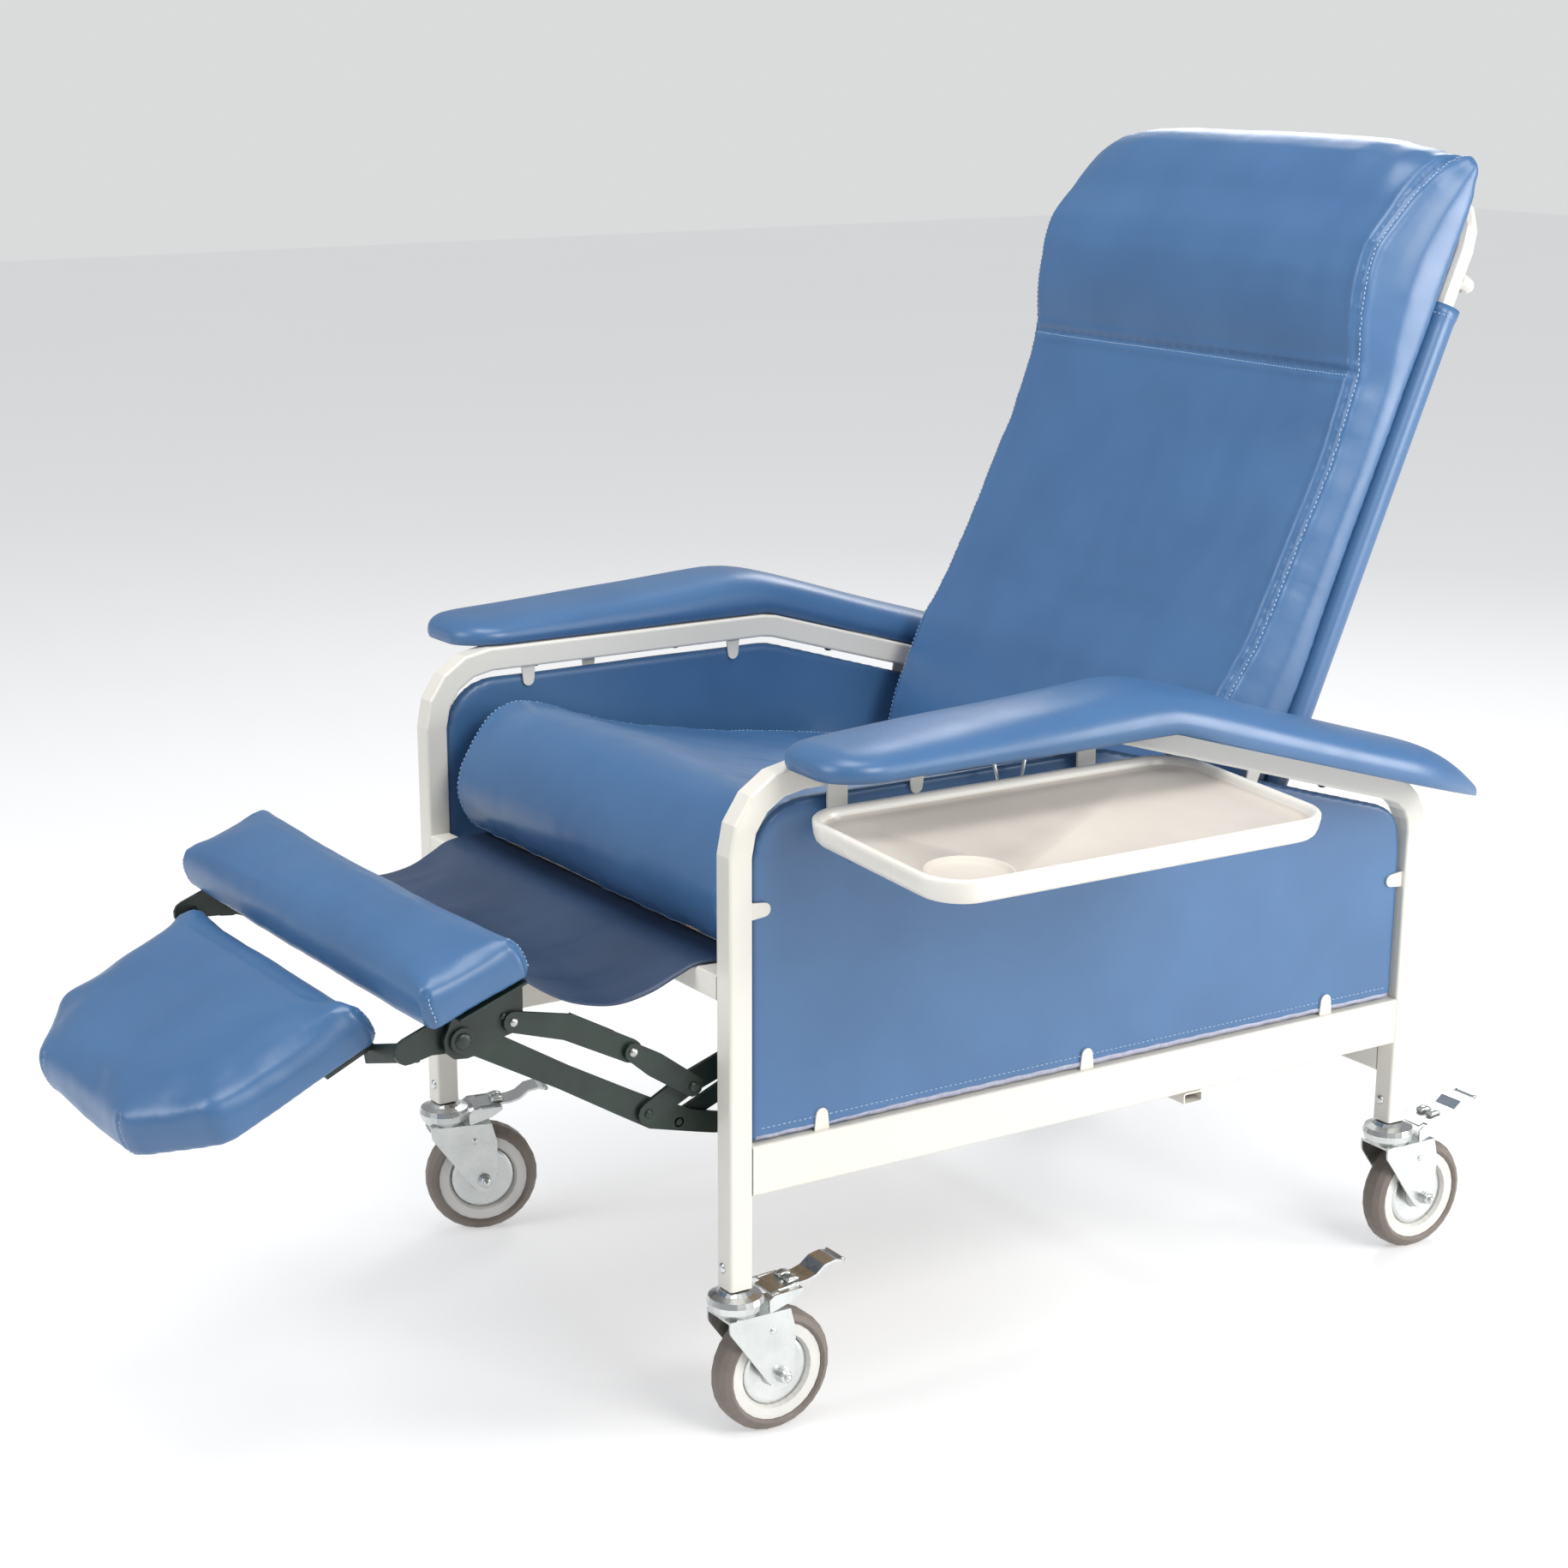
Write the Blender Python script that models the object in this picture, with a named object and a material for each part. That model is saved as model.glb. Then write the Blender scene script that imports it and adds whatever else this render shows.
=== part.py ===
"""Patient recliner chair: a white tube frame on four braked casters, upholstered seat, back and arms,
a scissor leg rest with a calf pad and a foot pad, and a tray that folds down beside the left arm.

Metres, +Z up. The sitter faces -Y and +X is the sitter's left. The chair is modelled reclined, with the
leg rest out. It is laid out about a point on the floor midway between the legs, and the finished chair
is then moved so that its origin is the bottom centre of its bounding box."""

import math

import bmesh
import bpy
from mathutils import Matrix, Vector
from mathutils.geometry import tessellate_polygon

GAP = 0.0003                    # clearance between neighbouring pieces
ARC_STEP = math.radians(22.5)   # largest turn between two points of a rounded outline

# Side frames
FRAME_WIDTH = 0.645
FRAME_DEPTH = 0.884
TUBE = 0.0254
TUBE_WALL = 0.0016
LEG_BOTTOM = 0.158
ARM_TUBE_TOP = 0.671
ARM_SLOPE = math.radians(16.3)
FRONT_BEND = 0.069
REAR_BEND = 0.052
KINK_BEND = 0.060
RAIL_BOTTOM = 0.2520
RAIL_HEIGHT = 0.0508
TUBE_X = FRAME_WIDTH / 2 - TUBE / 2
TUBE_Y = FRAME_DEPTH / 2 - TUBE / 2
INNER_X = FRAME_WIDTH / 2 - TUBE
CROSSBAR_Z = 0.459
REAR_BAR_Z = 0.2385
UNDER_BAR_Y = 0.1305
UNDER_BAR_HEIGHT = 0.0127

# Side panels and the finger tabs that hold them
PANEL_THICK = 0.012
PANEL_MARGIN = 0.009
TAB_THICK = 0.0020
TAB_WIDTH = 0.017
TAB_REACH = 0.024
OUTER_TOP_TABS = (-0.229, 0.197)
INNER_TOP_TABS = (-0.313, -0.047)
OUTER_RAIL_TABS = (-0.335, -0.010, 0.316)
INNER_RAIL_TABS = (-0.170, 0.150)
FRONT_LEG_TAB_Z = 0.535
REAR_LEG_TAB_Z = 0.439

# Arm pads
ARM_PAD_X = 0.364
ARM_PAD_HALF = 0.063
ARM_PAD_FRONT = -0.388
ARM_PAD_REAR = 0.455

# Seat
SEAT_HALF = 0.282
SEAT_SLOPE = 0.158
SEAT_BASE_Y = -0.383
SEAT_BASE_Z = 0.476
BOARD_HALF = 0.249
BOARD_THICK = 0.012

# Back, in its own directions: S runs up the tubes from the hinge, F points out of the front face
BACK_HINGE = Vector((0.0, 0.196, 0.4165))
BACK_LEAN = math.radians(23.0)
BACK_TUBE_X = 0.277
BACK_TUBE_R = 0.011
BACK_TUBE_WALL = 0.0016
BACK_TOP = 0.795
BACK_CORNER = 0.056
BACK_HALF = 0.285
BACK_LUG_X = (0.2625, 0.2674)
BACK_COVER_TOP = 0.682
PUSH_BAR_S = 0.711
PUSH_BAR_R = 0.0075
PUSH_BAR_BACK = 0.034

# Leg rest linkage. Plates lie in layers, counted outwards from the long front link.
LAYER_X = 0.261
LAYER_PITCH = 0.0046
PLATE_THICK = 0.004
PIVOT_SEAT_REAR = (-0.276, 0.421)    # rear link on the side plate
PIVOT_SEAT_TAIL = (-0.244, 0.412)    # tail link on the side plate
PIVOT_ELBOW = (-0.500, 0.337)        # rear link on the front link
PIVOT_TAIL = (-0.464, 0.320)         # tail link on the front link
PIVOT_CALF = (-0.695, 0.447)         # front link on the calf bracket, and the foot arm
PIVOT_UPPER = (-0.644, 0.456)        # upper link on the calf bracket
PIVOT_RISER = (-0.521, 0.405)        # upper link on the riser link
PIVOT_CROSS = (-0.456, 0.359)        # riser link on the rear link
PIVOT_CLEARANCE = 0.0004
OPEN_CLEARANCE = 0.0031              # at the two pivots where the linkage is left open

# Leg rest pads
CALF_REAR = Vector((0.0, -0.630, 0.497))
CALF_FRONT = Vector((0.0, -0.724, 0.463))
CALF_HALF = 0.284
CALF_THICK = 0.048
FOOT_REAR = Vector((0.0, -0.737, 0.431))
FOOT_FRONT = Vector((0.0, -0.941, 0.335))
FOOT_HALF = 0.193
FOOT_LENGTH = 0.232
FOOT_THICK = 0.048
FOOT_STRAP_END = 0.060
PAD_BOARD = 0.008

# Apron between the seat and the calf pad
APRON_HINGE = Vector((0.0, -0.444, 0.474))
APRON_REAR_HALF = 0.268
APRON_FRONT_HALF = 0.248
APRON_THICK = 0.003

# Tray
TRAY_HINGE = Vector((0.340, 0.0, 0.604))
TRAY_TILT = math.radians(3.2)
TRAY_INNER_X = 0.347
TRAY_WIDTH = 0.240
TRAY_FRONT = -0.390
TRAY_REAR = 0.064
TRAY_CORNER = 0.045
TRAY_RIM_TOP = 0.634
TRAY_RIM = 0.024
TRAY_FLOOR = 0.004
CUP_RADIUS = 0.036
HINGE_ROD_R = 0.004
TRAY_ARM_STATIONS = (-0.325, -0.030)
TRAY_KNUCKLES = (-0.300, -0.055)

# Casters
WHEEL_R = 0.0635
CASTER_TRAIL = 0.040
TYRE_HALF = 0.016
HUB_R = 0.0505
HUB_HALF = 0.0125
BOSS_R = 0.014
AXLE_R = 0.0048
AXLE_CLEARANCE = 0.0004
FORK_INNER = 0.0195
FORK_THICK = 0.0025
FORK_TOP = 0.1315
STEM_R = 0.0085
STEM_TOP = 0.195
PEDAL_PIVOT = (0.020, 0.1385)
CASTERS = {"fl": (1, -1, 0.7), "fr": (-1, -1, 17.0), "rl": (1, 1, 1.2), "rr": (-1, 1, 1.2)}

MATERIALS = {
    "white_paint": ((0.85, 0.83, 0.77), 0.35, 0.0),
    "black_paint": ((0.012, 0.022, 0.016), 0.42, 0.3),
    "zinc": ((0.62, 0.63, 0.62), 0.32, 1.0),
    "blue_vinyl": ((0.075, 0.17, 0.34), 0.36, 0.0),
    "tray_plastic": ((0.80, 0.76, 0.69), 0.38, 0.0),
    "tyre_rubber": ((0.30, 0.275, 0.26), 0.6, 0.0),
    "hub_plastic": ((0.66, 0.65, 0.61), 0.45, 0.0),
    "plywood": ((0.50, 0.36, 0.21), 0.6, 0.0),
}


def clear_scene():
    for item in list(bpy.data.objects):
        bpy.data.objects.remove(item)


def material(name):
    if name in bpy.data.materials:
        return bpy.data.materials[name]
    colour, roughness, metallic = MATERIALS[name]
    made = bpy.data.materials.new(name)
    made.use_nodes = True
    shader = made.node_tree.nodes["Principled BSDF"]
    shader.inputs["Base Color"].default_value = (*colour, 1.0)
    shader.inputs["Roughness"].default_value = roughness
    shader.inputs["Metallic"].default_value = metallic
    made.diffuse_color = (*colour, 1.0)
    return made


def empty(name, at):
    made = bpy.data.objects.new(name, None)
    made.location = at
    bpy.context.scene.collection.objects.link(made)
    return made


def piece(name, shape, finish, parent=None):
    """Makes the object NAME from a bmesh in world coordinates, with its origin on its parent empty."""
    origin = parent.location if parent else Vector()
    bmesh.ops.remove_doubles(shape, verts=shape.verts, dist=1e-6)
    bmesh.ops.recalc_face_normals(shape, faces=shape.faces)
    bmesh.ops.translate(shape, vec=-origin, verts=shape.verts)
    mesh = bpy.data.meshes.new(name)
    shape.to_mesh(mesh)
    shape.free()
    mesh.materials.append(material(finish))
    mesh.shade_smooth()
    mesh.set_sharp_from_angle(angle=math.radians(35))
    made = bpy.data.objects.new(name, mesh)
    bpy.context.scene.collection.objects.link(made)
    made.parent = parent
    return made


# ---------------------------------------------------------------- outlines

def rounded(corners, radii, closed=True):
    """The corner points with each corner replaced by an arc. radii is one radius or one for each corner."""
    points = [Vector(corner) for corner in corners]
    count = len(points)
    if not hasattr(radii, "__len__"):
        radii = [radii] * count
    out = []
    for index, here in enumerate(points):
        at_end = not closed and index in (0, count - 1)
        if at_end or radii[index] <= 0:
            out.append(here.copy())
            continue
        back = (points[index - 1] - here).normalized()
        ahead = (points[(index + 1) % count] - here).normalized()
        inside = back.angle(ahead)
        if abs(math.pi - inside) < 1e-4:
            continue
        reach = radii[index] / math.tan(inside / 2)
        centre = here + (back + ahead).normalized() * radii[index] / math.sin(inside / 2)
        start = here + back * reach - centre
        end = here + ahead * reach - centre
        steps = max(1, math.ceil((math.pi - inside) / ARC_STEP))
        sweep = start.angle(end)
        for step in range(steps + 1):
            share = step / steps
            first = math.sin((1 - share) * sweep) / math.sin(sweep)
            last = math.sin(share * sweep) / math.sin(sweep)
            out.append(centre + start * first + end * last)
    return out


def circle(centre, radius, steps=16):
    turns = (2 * math.pi * (step + 0.5) / steps for step in range(steps))
    return [Vector((centre[0] + radius * math.cos(turn), centre[1] + radius * math.sin(turn)))
            for turn in turns]


def link_outline(points, radii):
    """The outline of a flat link: a band through the points, rounded at both ends."""
    middle = [Vector(point) for point in points]
    left, right = [], []
    for index, here in enumerate(middle):
        before = (here - middle[index - 1]).normalized() if index else None
        after = (middle[index + 1] - here).normalized() if index + 1 < len(middle) else None
        along = ((before or after) + (after or before)).normalized()
        across = Vector((-along.y, along.x)) * radii[index]
        left.append(here + across)
        right.append(here - across)
    cap_end = end_cap(middle[-1], left[-1] - middle[-1])
    cap_start = end_cap(middle[0], right[0] - middle[0])
    return left + cap_end + right[::-1] + cap_start


def end_cap(centre, radius, steps=6):
    """The points of a half circle that starts at centre + radius and turns clockwise, without its ends."""
    turns = (-math.pi * step / steps for step in range(1, steps))
    return [centre + Matrix.Rotation(turn, 2) @ radius for turn in turns]


# ---------------------------------------------------------------- solids

def add_cap(shape, loops, x):
    flat = [Vector((point[0], point[1], 0)) for loop in loops for point in loop]
    verts = [shape.verts.new((x, point[0], point[1])) for loop in loops for point in loop]
    loops_3d = [[Vector((point[0], point[1], 0)) for point in loop] for loop in loops]
    for triangle in tessellate_polygon(loops_3d):
        corners = [flat[index] for index in triangle]
        if (corners[1] - corners[0]).cross(corners[2] - corners[0]).length > 1e-14:
            shape.faces.new([verts[index] for index in triangle])


def add_wall(shape, loop, x_from, x_to):
    near = [shape.verts.new((x_from, point[0], point[1])) for point in loop]
    far = [shape.verts.new((x_to, point[0], point[1])) for point in loop]
    for index in range(len(loop)):
        after = (index + 1) % len(loop)
        shape.faces.new((near[index], near[after], far[after], far[index]))


def plate(outline, x0, x1, holes=(), pins=()):
    """A flat plate in the YZ plane from x0 to x1. holes holds (centre, radius) and pins holds
    (centre, radius, tip): a pin grows from the face on its tip's side, out to x = tip."""
    shape = bmesh.new()
    hole_loops = [circle(centre, radius) for centre, radius in holes]
    for x in (x0, x1):
        standing = [pin for pin in pins if (pin[2] > x1) == (x == x1)]
        pin_loops = [circle(centre, radius) for centre, radius, _ in standing]
        add_cap(shape, [outline, *hole_loops, *pin_loops], x)
        for loop, (_, _, tip) in zip(pin_loops, standing):
            add_wall(shape, loop, x, tip)
            add_cap(shape, [loop], tip)
    for loop in [outline, *hole_loops]:
        add_wall(shape, loop, x0, x1)
    return shape


def box(low, high):
    shape = bmesh.new()
    bmesh.ops.create_cube(shape, size=1.0)
    size = Vector(high) - Vector(low)
    bmesh.ops.scale(shape, vec=size, verts=shape.verts)
    bmesh.ops.translate(shape, vec=(Vector(high) + Vector(low)) / 2, verts=shape.verts)
    return shape


def square_section(width, height, radius):
    half_w, half_h = width / 2, height / 2
    corners = [(-half_w, -half_h), (half_w, -half_h), (half_w, half_h), (-half_w, half_h)]
    return rounded(corners, radius)


def rings_along(shape, path, section, side):
    """Places a section at each point of a flat path, mitred at the bends; side is square to the path."""
    points = [Vector(point) for point in path]
    side = Vector(side).normalized()
    along = (points[1] - points[0]).normalized()
    other = side.cross(along)
    ring = [points[0] + side * spot[0] + other * spot[1] for spot in section]
    rings = [ring]
    for index in range(1, len(points)):
        along = (points[index] - points[index - 1]).normalized()
        ahead = (points[index + 1] - points[index]).normalized() if index + 1 < len(points) else along
        normal = (along + ahead).normalized()
        ring = [spot + along * ((points[index] - spot).dot(normal) / along.dot(normal)) for spot in ring]
        rings.append(ring)
    return [[shape.verts.new(spot) for spot in ring] for ring in rings]


def skin(shape, rings):
    for ring, after in zip(rings, rings[1:]):
        for index in range(len(ring)):
            step = (index + 1) % len(ring)
            shape.faces.new((ring[index], ring[step], after[step], after[index]))


def bar(path, section, side):
    shape = bmesh.new()
    rings = rings_along(shape, path, section, side)
    skin(shape, rings)
    shape.faces.new(rings[0])
    shape.faces.new(rings[-1])
    return shape


def tube(path, section, bore, side):
    """A hollow bar, open at both ends. section and bore have the same number of points."""
    shape = bmesh.new()
    outer = rings_along(shape, path, section, side)
    inner = rings_along(shape, path, bore, side)
    skin(shape, outer)
    skin(shape, inner)
    for end in (0, -1):
        skin(shape, [outer[end], inner[end]])
    return shape


def square_tube(path, width, height, side):
    section = square_section(width, height, 0.003)
    bore = square_section(width - 2 * TUBE_WALL, height - 2 * TUBE_WALL, 0.0015)
    return tube(path, section, bore, side)


def lathe(profile, centre, axis, steps=24):
    """Turns (distance along axis, radius) points about an axis. The profile is closed, or starts and ends at radius 0."""
    shape = bmesh.new()
    axis = Vector(axis).normalized()
    square = axis.orthogonal().normalized()
    third = axis.cross(square)
    rings = []
    for along, radius in profile:
        if radius < 1e-9:
            rings.append([shape.verts.new(Vector(centre) + axis * along)])
            continue
        ring = []
        for step in range(steps):
            turn = 2 * math.pi * step / steps
            out = square * math.cos(turn) + third * math.sin(turn)
            ring.append(shape.verts.new(Vector(centre) + axis * along + out * radius))
        rings.append(ring)
    pairs = list(zip(rings, rings[1:]))
    if len(rings[0]) > 1:
        pairs.append((rings[-1], rings[0]))
    for near, far in pairs:
        for step in range(steps):
            after = (step + 1) % steps
            if len(near) == 1:
                shape.faces.new((near[0], far[after], far[step]))
            elif len(far) == 1:
                shape.faces.new((near[step], near[after], far[0]))
            else:
                shape.faces.new((near[step], near[after], far[after], far[step]))
    return shape


def union(*shapes):
    """Joins overlapping closed shapes into one closed shape."""
    made = []
    for shape in shapes:
        bmesh.ops.remove_doubles(shape, verts=shape.verts, dist=1e-6)
        bmesh.ops.recalc_face_normals(shape, faces=shape.faces)
        mesh = bpy.data.meshes.new("part_of_union")
        shape.to_mesh(mesh)
        shape.free()
        item = bpy.data.objects.new("part_of_union", mesh)
        bpy.context.scene.collection.objects.link(item)
        made.append(item)
    for other in made[1:]:
        join = made[0].modifiers.new("join", "BOOLEAN")
        join.operation = "UNION"
        join.solver = "EXACT"
        join.object = other
    graph = bpy.context.evaluated_depsgraph_get()
    result = bmesh.new()
    result.from_mesh(made[0].evaluated_get(graph).to_mesh())
    for item in made:
        bpy.data.objects.remove(item)
    return result


def mirrored(shape):
    for vert in shape.verts:
        vert.co.x = -vert.co.x
    bmesh.ops.reverse_faces(shape, faces=shape.faces)
    return shape


def both_sides(name, make, finish, parent=None):
    """Makes NAME_left from make() and NAME_right as its mirror image."""
    piece(name + "_left", make(), finish, parent)
    piece(name + "_right", mirrored(make()), finish, parent)


def slab(outline, depth_points, place):
    """A pad: an outline drawn in by the given inset at each given height, put in place by a matrix."""
    shape = bmesh.new()
    rings = []
    for height, inset in depth_points:
        ring = offset(outline, -inset)
        rings.append([shape.verts.new(place @ Vector((spot[0], spot[1], height))) for spot in ring])
    skin(shape, rings)
    shape.faces.new(rings[0])
    shape.faces.new(rings[-1])
    return shape


def offset(outline, distance):
    """The outline moved out by a distance, point by point. It runs anticlockwise."""
    out = []
    for index, here in enumerate(outline):
        before = (here - outline[index - 1]).normalized()
        after = (outline[(index + 1) % len(outline)] - here).normalized()
        along = (before + after).normalized()
        square = Vector((along.y, -along.x))
        lean = max(0.5, square.dot(Vector((before.y, -before.x))))
        out.append(here + square * distance / lean)
    return out


def profile_pad(profile, half_width, edge):
    """A cushion: a YZ profile carried across the chair, drawn in by edge at both ends."""
    shape = bmesh.new()
    rings = []
    small = offset(profile, -edge)
    stations = ((-half_width, small), (edge - half_width, profile), (half_width - edge, profile),
                (half_width, small))
    for x, ring in stations:
        rings.append([shape.verts.new((x, spot[0], spot[1])) for spot in ring])
    skin(shape, rings)
    shape.faces.new(rings[0])
    shape.faces.new(rings[-1])
    return shape


# ---------------------------------------------------------------- frame

def arm_drop(y):
    return max(0.0, y) * math.tan(ARM_SLOPE)


def loop_path():
    top = ARM_TUBE_TOP - TUBE / 2
    corners = [(-TUBE_Y, LEG_BOTTOM), (-TUBE_Y, top), (0.0, top), (TUBE_Y, top - arm_drop(TUBE_Y)),
               (TUBE_Y, LEG_BOTTOM)]
    flat = rounded(corners, [0, FRONT_BEND, KINK_BEND, REAR_BEND, 0], closed=False)
    return [Vector((TUBE_X, spot[0], spot[1])) for spot in flat]


def finger(root, direction, x):
    """A finger tab: a flat tongue with a round tip that grows from a tube over the face of the panel."""
    root = Vector(root)
    direction = Vector(direction).normalized()
    start = root - direction * TUBE_WALL * 0.7
    tip = root + direction * (TAB_REACH - TAB_WIDTH / 2)
    outline = link_outline([start, tip], [TAB_WIDTH / 2, TAB_WIDTH / 2 * 0.8])
    square_root = [spot for spot in outline if (spot - start).dot(direction) > -1e-6]
    return plate(square_root, x - TAB_THICK / 2, x + TAB_THICK / 2)


def tab_x(side):
    return TUBE_X + side * (PANEL_THICK / 2 + GAP + TAB_THICK / 2)


def side_loop():
    shapes = [square_tube(loop_path(), TUBE, TUBE, (1, 0, 0))]
    tube_bottom = ARM_TUBE_TOP - TUBE
    slope = Vector((math.sin(-ARM_SLOPE), -math.cos(ARM_SLOPE)))
    for side, stations in ((1, OUTER_TOP_TABS), (-1, INNER_TOP_TABS)):
        for y in stations:
            down = slope if y > 0 else Vector((0, -1))
            lower = tube_bottom - arm_drop(y) - (TUBE / 2 / math.cos(ARM_SLOPE) - TUBE / 2 if y > 0 else 0)
            shapes.append(finger((y, lower), down, tab_x(side)))
    shapes.append(finger((-TUBE_Y + TUBE / 2, FRONT_LEG_TAB_Z), (1, 0), tab_x(1)))
    shapes.append(finger((TUBE_Y - TUBE / 2, REAR_LEG_TAB_Z), (-1, 0), tab_x(1)))
    return union(*shapes)


def side_rail():
    middle = RAIL_BOTTOM + RAIL_HEIGHT / 2
    reach = TUBE_Y - TUBE / 2 - GAP
    shapes = [square_tube([(TUBE_X, -reach, middle), (TUBE_X, reach, middle)], TUBE, RAIL_HEIGHT, (1, 0, 0))]
    for side, stations in ((1, OUTER_RAIL_TABS), (-1, INNER_RAIL_TABS)):
        for y in stations:
            shapes.append(finger((y, RAIL_BOTTOM + RAIL_HEIGHT), (0, 1), tab_x(side)))
    return union(*shapes)


def side_panel():
    front = -TUBE_Y + TUBE / 2 + 0.003
    rear = TUBE_Y - TUBE / 2 - 0.005
    bottom = RAIL_BOTTOM + RAIL_HEIGHT + 0.001
    top = ARM_TUBE_TOP - TUBE - PANEL_MARGIN
    corners = [(front, bottom), (rear, bottom), (rear, top - arm_drop(rear)), (0.0, top), (front, top)]
    outline = rounded(corners, [0.004, 0.004, 0.045, KINK_BEND, 0.058])
    return plate(outline, TUBE_X - PANEL_THICK / 2, TUBE_X + PANEL_THICK / 2)


def crossbar(y, z, height, depth, reach):
    return square_tube([(-reach, y, z), (reach, y, z)], height, depth, (0, 0, 1))


def arm_pad():
    """Lofted from sections that stand across the arm: wide and thick over the bend, slim at both ends."""
    shape = bmesh.new()
    rings = []
    kink = TUBE / 2 * math.sin(ARM_SLOPE / 2)
    front = [ARM_PAD_FRONT + (kink - ARM_PAD_FRONT) * (1 - math.cos(0.5 * math.pi * step / 9))
             for step in range(9)]
    rear = [kink + (ARM_PAD_REAR - kink) * math.sin(0.5 * math.pi * step / 12) for step in range(13)]
    for y in front + rear:
        half = arm_pad_half(y)
        top = arm_pad_height(y)
        floor = ARM_TUBE_TOP + GAP - arm_drop(y - kink)
        section = [(-1.0, 0.28), (-0.86, 0.0), (0.86, 0.0), (1.0, 0.28), (0.97, 0.62), (0.72, 0.90),
                   (0.30, 1.0),
                   (-0.30, 1.0), (-0.72, 0.90), (-0.97, 0.62)]
        rings.append([shape.verts.new((ARM_PAD_X + half * u, y, floor + top * v)) for u, v in section])
    skin(shape, rings)
    shape.faces.new(rings[0])
    shape.faces.new(rings[-1])
    return shape


def arm_pad_half(y):
    front = min(1.0, max(0.0, (y - ARM_PAD_FRONT) / 0.050))
    rear = min(1.0, max(0.0, (ARM_PAD_REAR - y) / 0.130))
    front_share = 0.50 + 0.50 * math.sqrt(1 - (1 - front) ** 2)
    rear_share = 0.26 + 0.74 * math.sin(rear * math.pi / 2)
    return ARM_PAD_HALF * front_share * rear_share


def arm_pad_height(y):
    front = min(1.0, max(0.0, (y - ARM_PAD_FRONT) / 0.340))
    nose = min(1.0, max(0.0, (y - ARM_PAD_FRONT) / 0.030))
    rear = min(1.0, max(0.0, (ARM_PAD_REAR - y) / 0.120))
    return (0.024 + 0.017 * front) * (0.55 + 0.45 * nose) * (0.34 + 0.66 * math.sin(rear * math.pi / 2))


def seat_line(y, above=0.0):
    """Height of the seat cushion's underside at y, raised by the given amount."""
    return SEAT_BASE_Z - SEAT_SLOPE * (y - SEAT_BASE_Y) + above


def seat_cushion():
    corners = [(SEAT_BASE_Y, SEAT_BASE_Z), (-0.402, 0.484), (-0.421, 0.512), (-0.423, 0.540),
               (-0.410, 0.570),
               (-0.385, 0.606), (-0.362, 0.619), (-0.330, 0.620), (0.086, 0.528), (0.099, 0.518),
               (0.099, 0.490),
               (0.092, 0.466), (0.0835, 0.438), (0.0815, 0.419), (0.082, seat_line(0.082))]
    return profile_pad([Vector(corner) for corner in reversed(corners)], SEAT_HALF, 0.012)


def seat_board():
    front, rear = SEAT_BASE_Y + 0.002, 0.105
    top, low = -GAP * 2, -GAP * 2 - BOARD_THICK
    outline = [(front, seat_line(front, low)), (rear, seat_line(rear, low)), (rear, seat_line(rear, top)),
               (front, seat_line(front, top))]
    return plate([Vector(spot) for spot in outline], -BOARD_HALF, BOARD_HALF)


def layer(number):
    low = LAYER_X + number * LAYER_PITCH
    return low, low + PLATE_THICK


def side_plate():
    """Steel side plate: carries the seat board, the leg rest linkage and the back's hinge pin."""
    under = -BOARD_THICK - 3 * GAP
    front = -TUBE_Y + TUBE / 2 + GAP
    hinge = Vector((BACK_HINGE.y, BACK_HINGE.z))
    foot_bottom = RAIL_BOTTOM
    corners = [(front, seat_line(front, under)), (front, 0.438), (-0.310, 0.424), (-0.292, 0.400),
               (-0.229, 0.398),
               (-0.214, 0.411), (0.100, 0.362), (0.108, 0.350), (0.108, foot_bottom), (0.150, foot_bottom),
               (0.150, 0.352), (hinge.x + 0.021, 0.398), (hinge.x + 0.021, hinge.y + 0.020),
               (hinge.x - 0.021, hinge.y + 0.020), (0.138, seat_line(0.138, under)), ]
    radii = [0, 0, 0.01, 0.01, 0.01, 0.01, 0, 0, 0, 0, 0.01, 0.02, 0.02, 0.02, 0.01]
    x0, x1 = layer(-2)
    holes = [(PIVOT_SEAT_REAR, 0.006 + PIVOT_CLEARANCE), (PIVOT_SEAT_TAIL, 0.005 + PIVOT_CLEARANCE)]
    pins = [((hinge.x, hinge.y), 0.006, BACK_LUG_X[1] + 0.003)]
    web = plate(rounded(corners, radii), x0, x1, holes, pins)
    flange_low, flange_high = (seat_line(0, under - 0.003), seat_line(0, under))
    start, end = front + 0.004, 0.100
    slope = [(start, flange_low - SEAT_SLOPE * start), (end, flange_low - SEAT_SLOPE * end),
             (end, flange_high - SEAT_SLOPE * end), (start, flange_high - SEAT_SLOPE * start)]
    flange = plate([Vector(spot) for spot in slope], x0 - 0.020, x0 + 0.001)
    return union(web, flange)


# ---------------------------------------------------------------- back

def back_point(s, f, x=0.0):
    """A point at s up the back's tubes from the hinge and f in front of them."""
    up = Vector((0, math.sin(BACK_LEAN), math.cos(BACK_LEAN)))
    out = Vector((0, -math.cos(BACK_LEAN), math.sin(BACK_LEAN)))
    return BACK_HINGE + up * s + out * f + Vector((x, 0, 0))


def round_section(radius, steps=12):
    return circle((0, 0), radius, steps)


def back_frame():
    corners = [(BACK_TUBE_X, 0.036), (BACK_TUBE_X, BACK_TOP), (-BACK_TUBE_X, BACK_TOP),
               (-BACK_TUBE_X, 0.036)]
    path = [back_point(spot[1], 0, spot[0]) for spot in rounded(corners, [0, BACK_CORNER, BACK_CORNER, 0],
                                                                closed=False)]
    side = back_point(0, 1) - back_point(0, 0)
    hoop = tube(path, round_section(BACK_TUBE_R), round_section(BACK_TUBE_R - BACK_TUBE_WALL), side)
    shapes = [hoop, push_bar(side)]
    for sign in (1, -1):
        lug = back_lug()
        shapes.append(lug if sign > 0 else mirrored(lug))
    return union(*shapes)


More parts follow.
